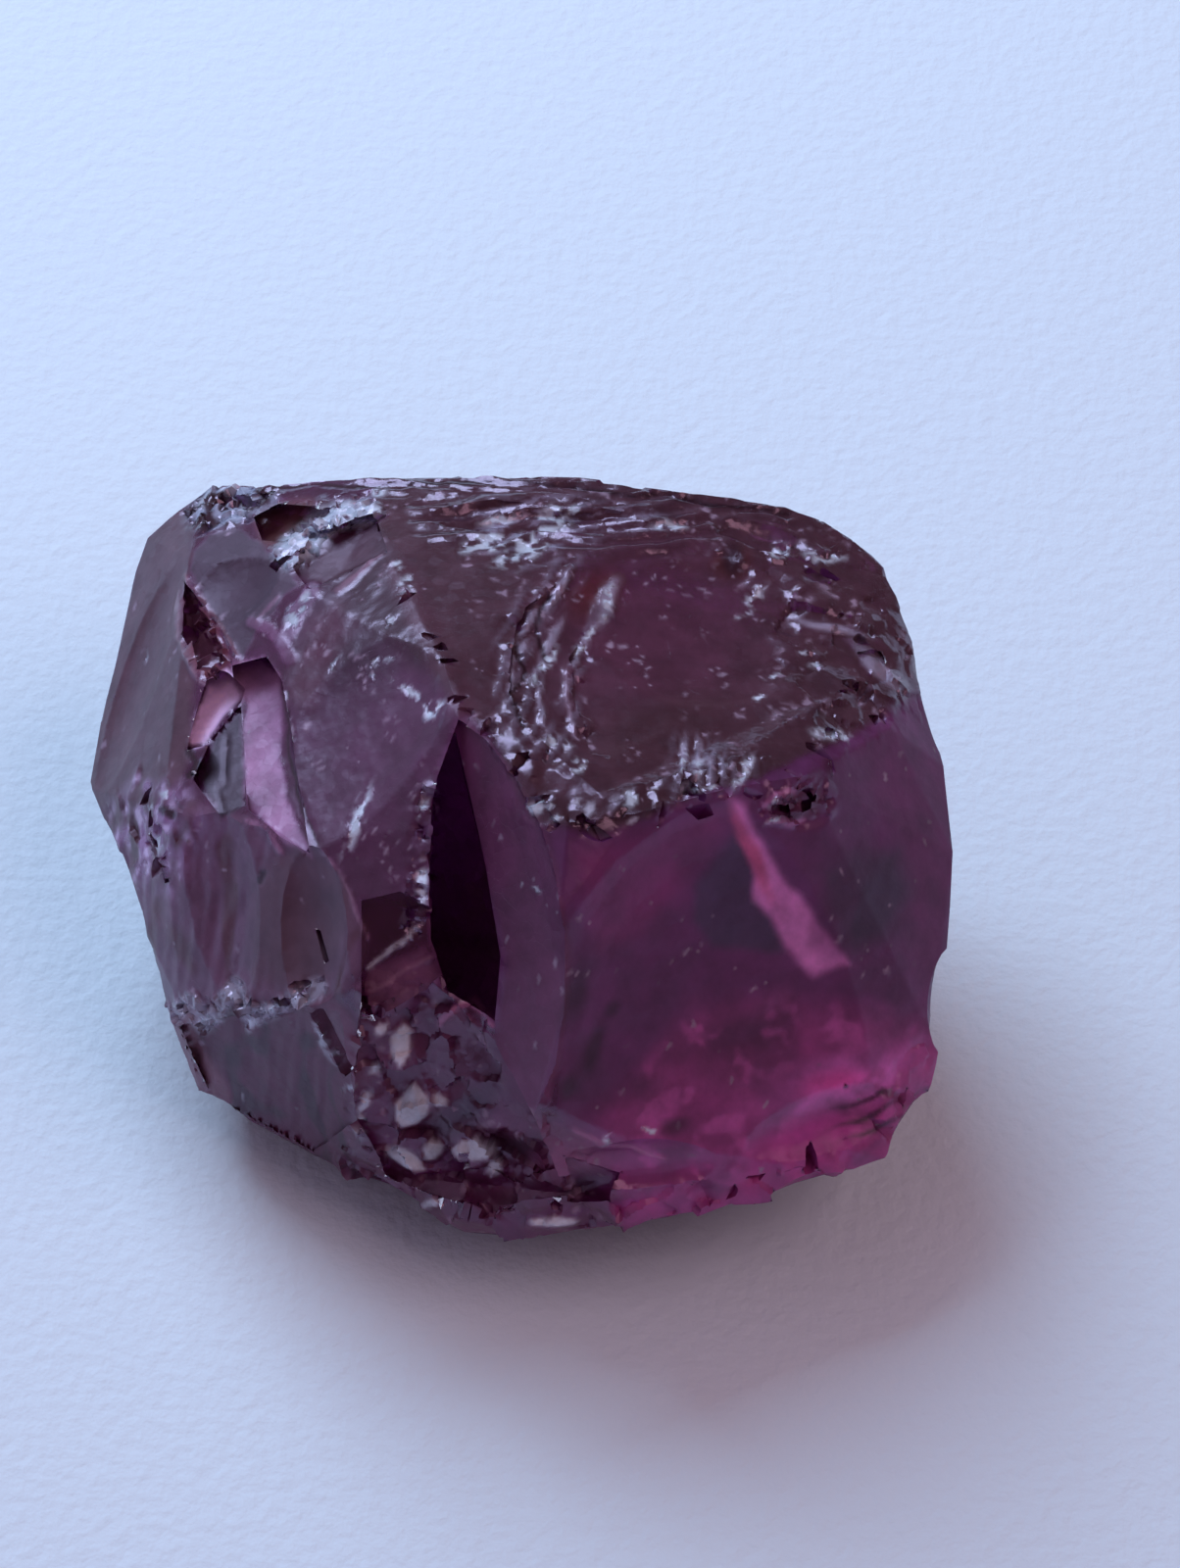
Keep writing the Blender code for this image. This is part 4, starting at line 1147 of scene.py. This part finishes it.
# %% The colour that light takes on its way through
body = work.add("VolumeAbsorption", Color=(0.62, 0.055, 0.60, 1.0), Density=420.0)
work.tree.links.new(body.outputs["Volume"], work.tree.nodes["Material Output"].inputs["Volume"])
stone.data.materials.clear()
stone.data.materials.append(garnet)
print("density of the body, per m:", body.inputs["Density"].default_value)

# %% [markdown]
# The stone is one rigid piece. It rides the only body of the frame, stands in the place of
# the plain CAD node, and takes over its material slot.

# %% Tie the stone to the frame
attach(stone, "root")
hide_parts("garnet")
print("rides: root, replaces: garnet")

# %% [markdown]
# ## The floor
#
# A plain pale floor catches the shadow and sends light up into the stone from below. Its
# faint tooth keeps the shadow from looking airbrushed. It lies a fiftieth of a millimetre
# below the stone, because two surfaces in the same place flicker in a render.

# %% The floor
FLOOR_REACH = 0.6
FLOOR_DROP = 0.02 * MM

sheet = bmesh.new()
bmesh.ops.create_grid(sheet, x_segments=1, y_segments=1, size=FLOOR_REACH)
bmesh.ops.translate(sheet, verts=sheet.verts, vec=(0.0, 0.0, -FLOOR_DROP))
floor_mesh = bpy.data.meshes.new("floor")
sheet.to_mesh(floor_mesh)
sheet.free()
floor = bpy.data.objects.new("floor", floor_mesh)
bpy.context.scene.collection.objects.link(floor)
print("floor, m across:", 2 * FLOOR_REACH)

# %% The finish of the floor
FLOOR_TONE = (0.62, 0.72, 0.85, 1.0)

pale_finish = bpy.data.materials.new("pale_floor")
work = Nodes(pale_finish)
work.shader.inputs["Base Color"].default_value = FLOOR_TONE
work.shader.inputs["Roughness"].default_value = 0.9
in_mm = work.add("VectorMath", {"operation": "SCALE"},
                 Vector=work.add("TexCoord").outputs["Object"], Scale=1 / MM)
tooth = work.add("TexNoise", Vector=in_mm.outputs[0], Scale=2.6, Detail=3.0)
tooth_bump = work.add("Bump", Height=tooth.outputs["Fac"], Strength=0.5, Distance=0.12 * MM)
work.set(work.shader, "Normal", tooth_bump.outputs["Normal"])
floor_mesh.materials.append(pale_finish)
print("floor tone, linear:", FLOOR_TONE)

# %% [markdown]
# ## Light
#
# The light in the photograph is soft and bluish, as near a window on a dull day. A window
# is a large soft lamp, and an Area light is one too. It stands behind the stone on the
# left, close enough for the floor to grow darker away from it. A second, warmer lamp
# stands for the light that the room sends back.
#
# The world colour is what the glossy faces mirror: pale towards the window and dark
# reddish elsewhere. It fades with the direction, by a dot product, so it needs no image.

# %% The room that the stone mirrors
ROOM_PALE = (0.47, 0.39, 0.50, 1.0)
ROOM_DARK = (0.16, 0.09, 0.10, 1.0)

scene = bpy.context.scene
scene.view_settings.view_transform = "Standard"
world = bpy.data.worlds.new("room")
scene.world = world
world.use_nodes = True
room_nodes, room_links = world.node_tree.nodes, world.node_tree.links
room_place = room_nodes.new("ShaderNodeTexCoord")
towards_window = room_nodes.new("ShaderNodeVectorMath")
towards_window.operation = "DOT_PRODUCT"
towards_window.inputs[1].default_value = Vector((-0.80, 0.32, 0.50)).normalized()
room_links.new(room_place.outputs["Generated"], towards_window.inputs[0])
room_tones = room_nodes.new("ShaderNodeValToRGB")
room_links.new(towards_window.outputs["Value"], room_tones.inputs["Fac"])
room_links.new(room_tones.outputs["Color"], room_nodes["Background"].inputs["Color"])
room_tones.color_ramp.elements[0].position = 0.3
room_tones.color_ramp.elements[0].color = ROOM_DARK
room_tones.color_ramp.elements[1].position = 0.9
room_tones.color_ramp.elements[1].color = ROOM_PALE
print("view transform:", scene.view_settings.view_transform)

# %% The window and the rest of the room


def window_light(name, direction, distance, size, power, colour):
    """A square lamp that far off in that direction, facing the stone."""
    light = bpy.data.lights.new(name, "AREA")
    light.energy = power
    light.size = size
    light.color = colour
    lamp = bpy.data.objects.new(name, light)
    bpy.context.scene.collection.objects.link(lamp)
    lamp.location = Vector(direction).normalized() * distance
    lamp.rotation_euler = Vector(direction).to_track_quat("Z", "Y").to_euler()


window_light("window", (-0.314, 0.591, 0.743), 0.2, 0.112, 0.38, (0.60, 0.82, 1.0))
window_light("room", (0.55, -0.25, 0.8), 0.5, 0.3, 0.72, (1.0, 0.70, 0.71))
print("lamps:", [light.name for light in bpy.data.lights])
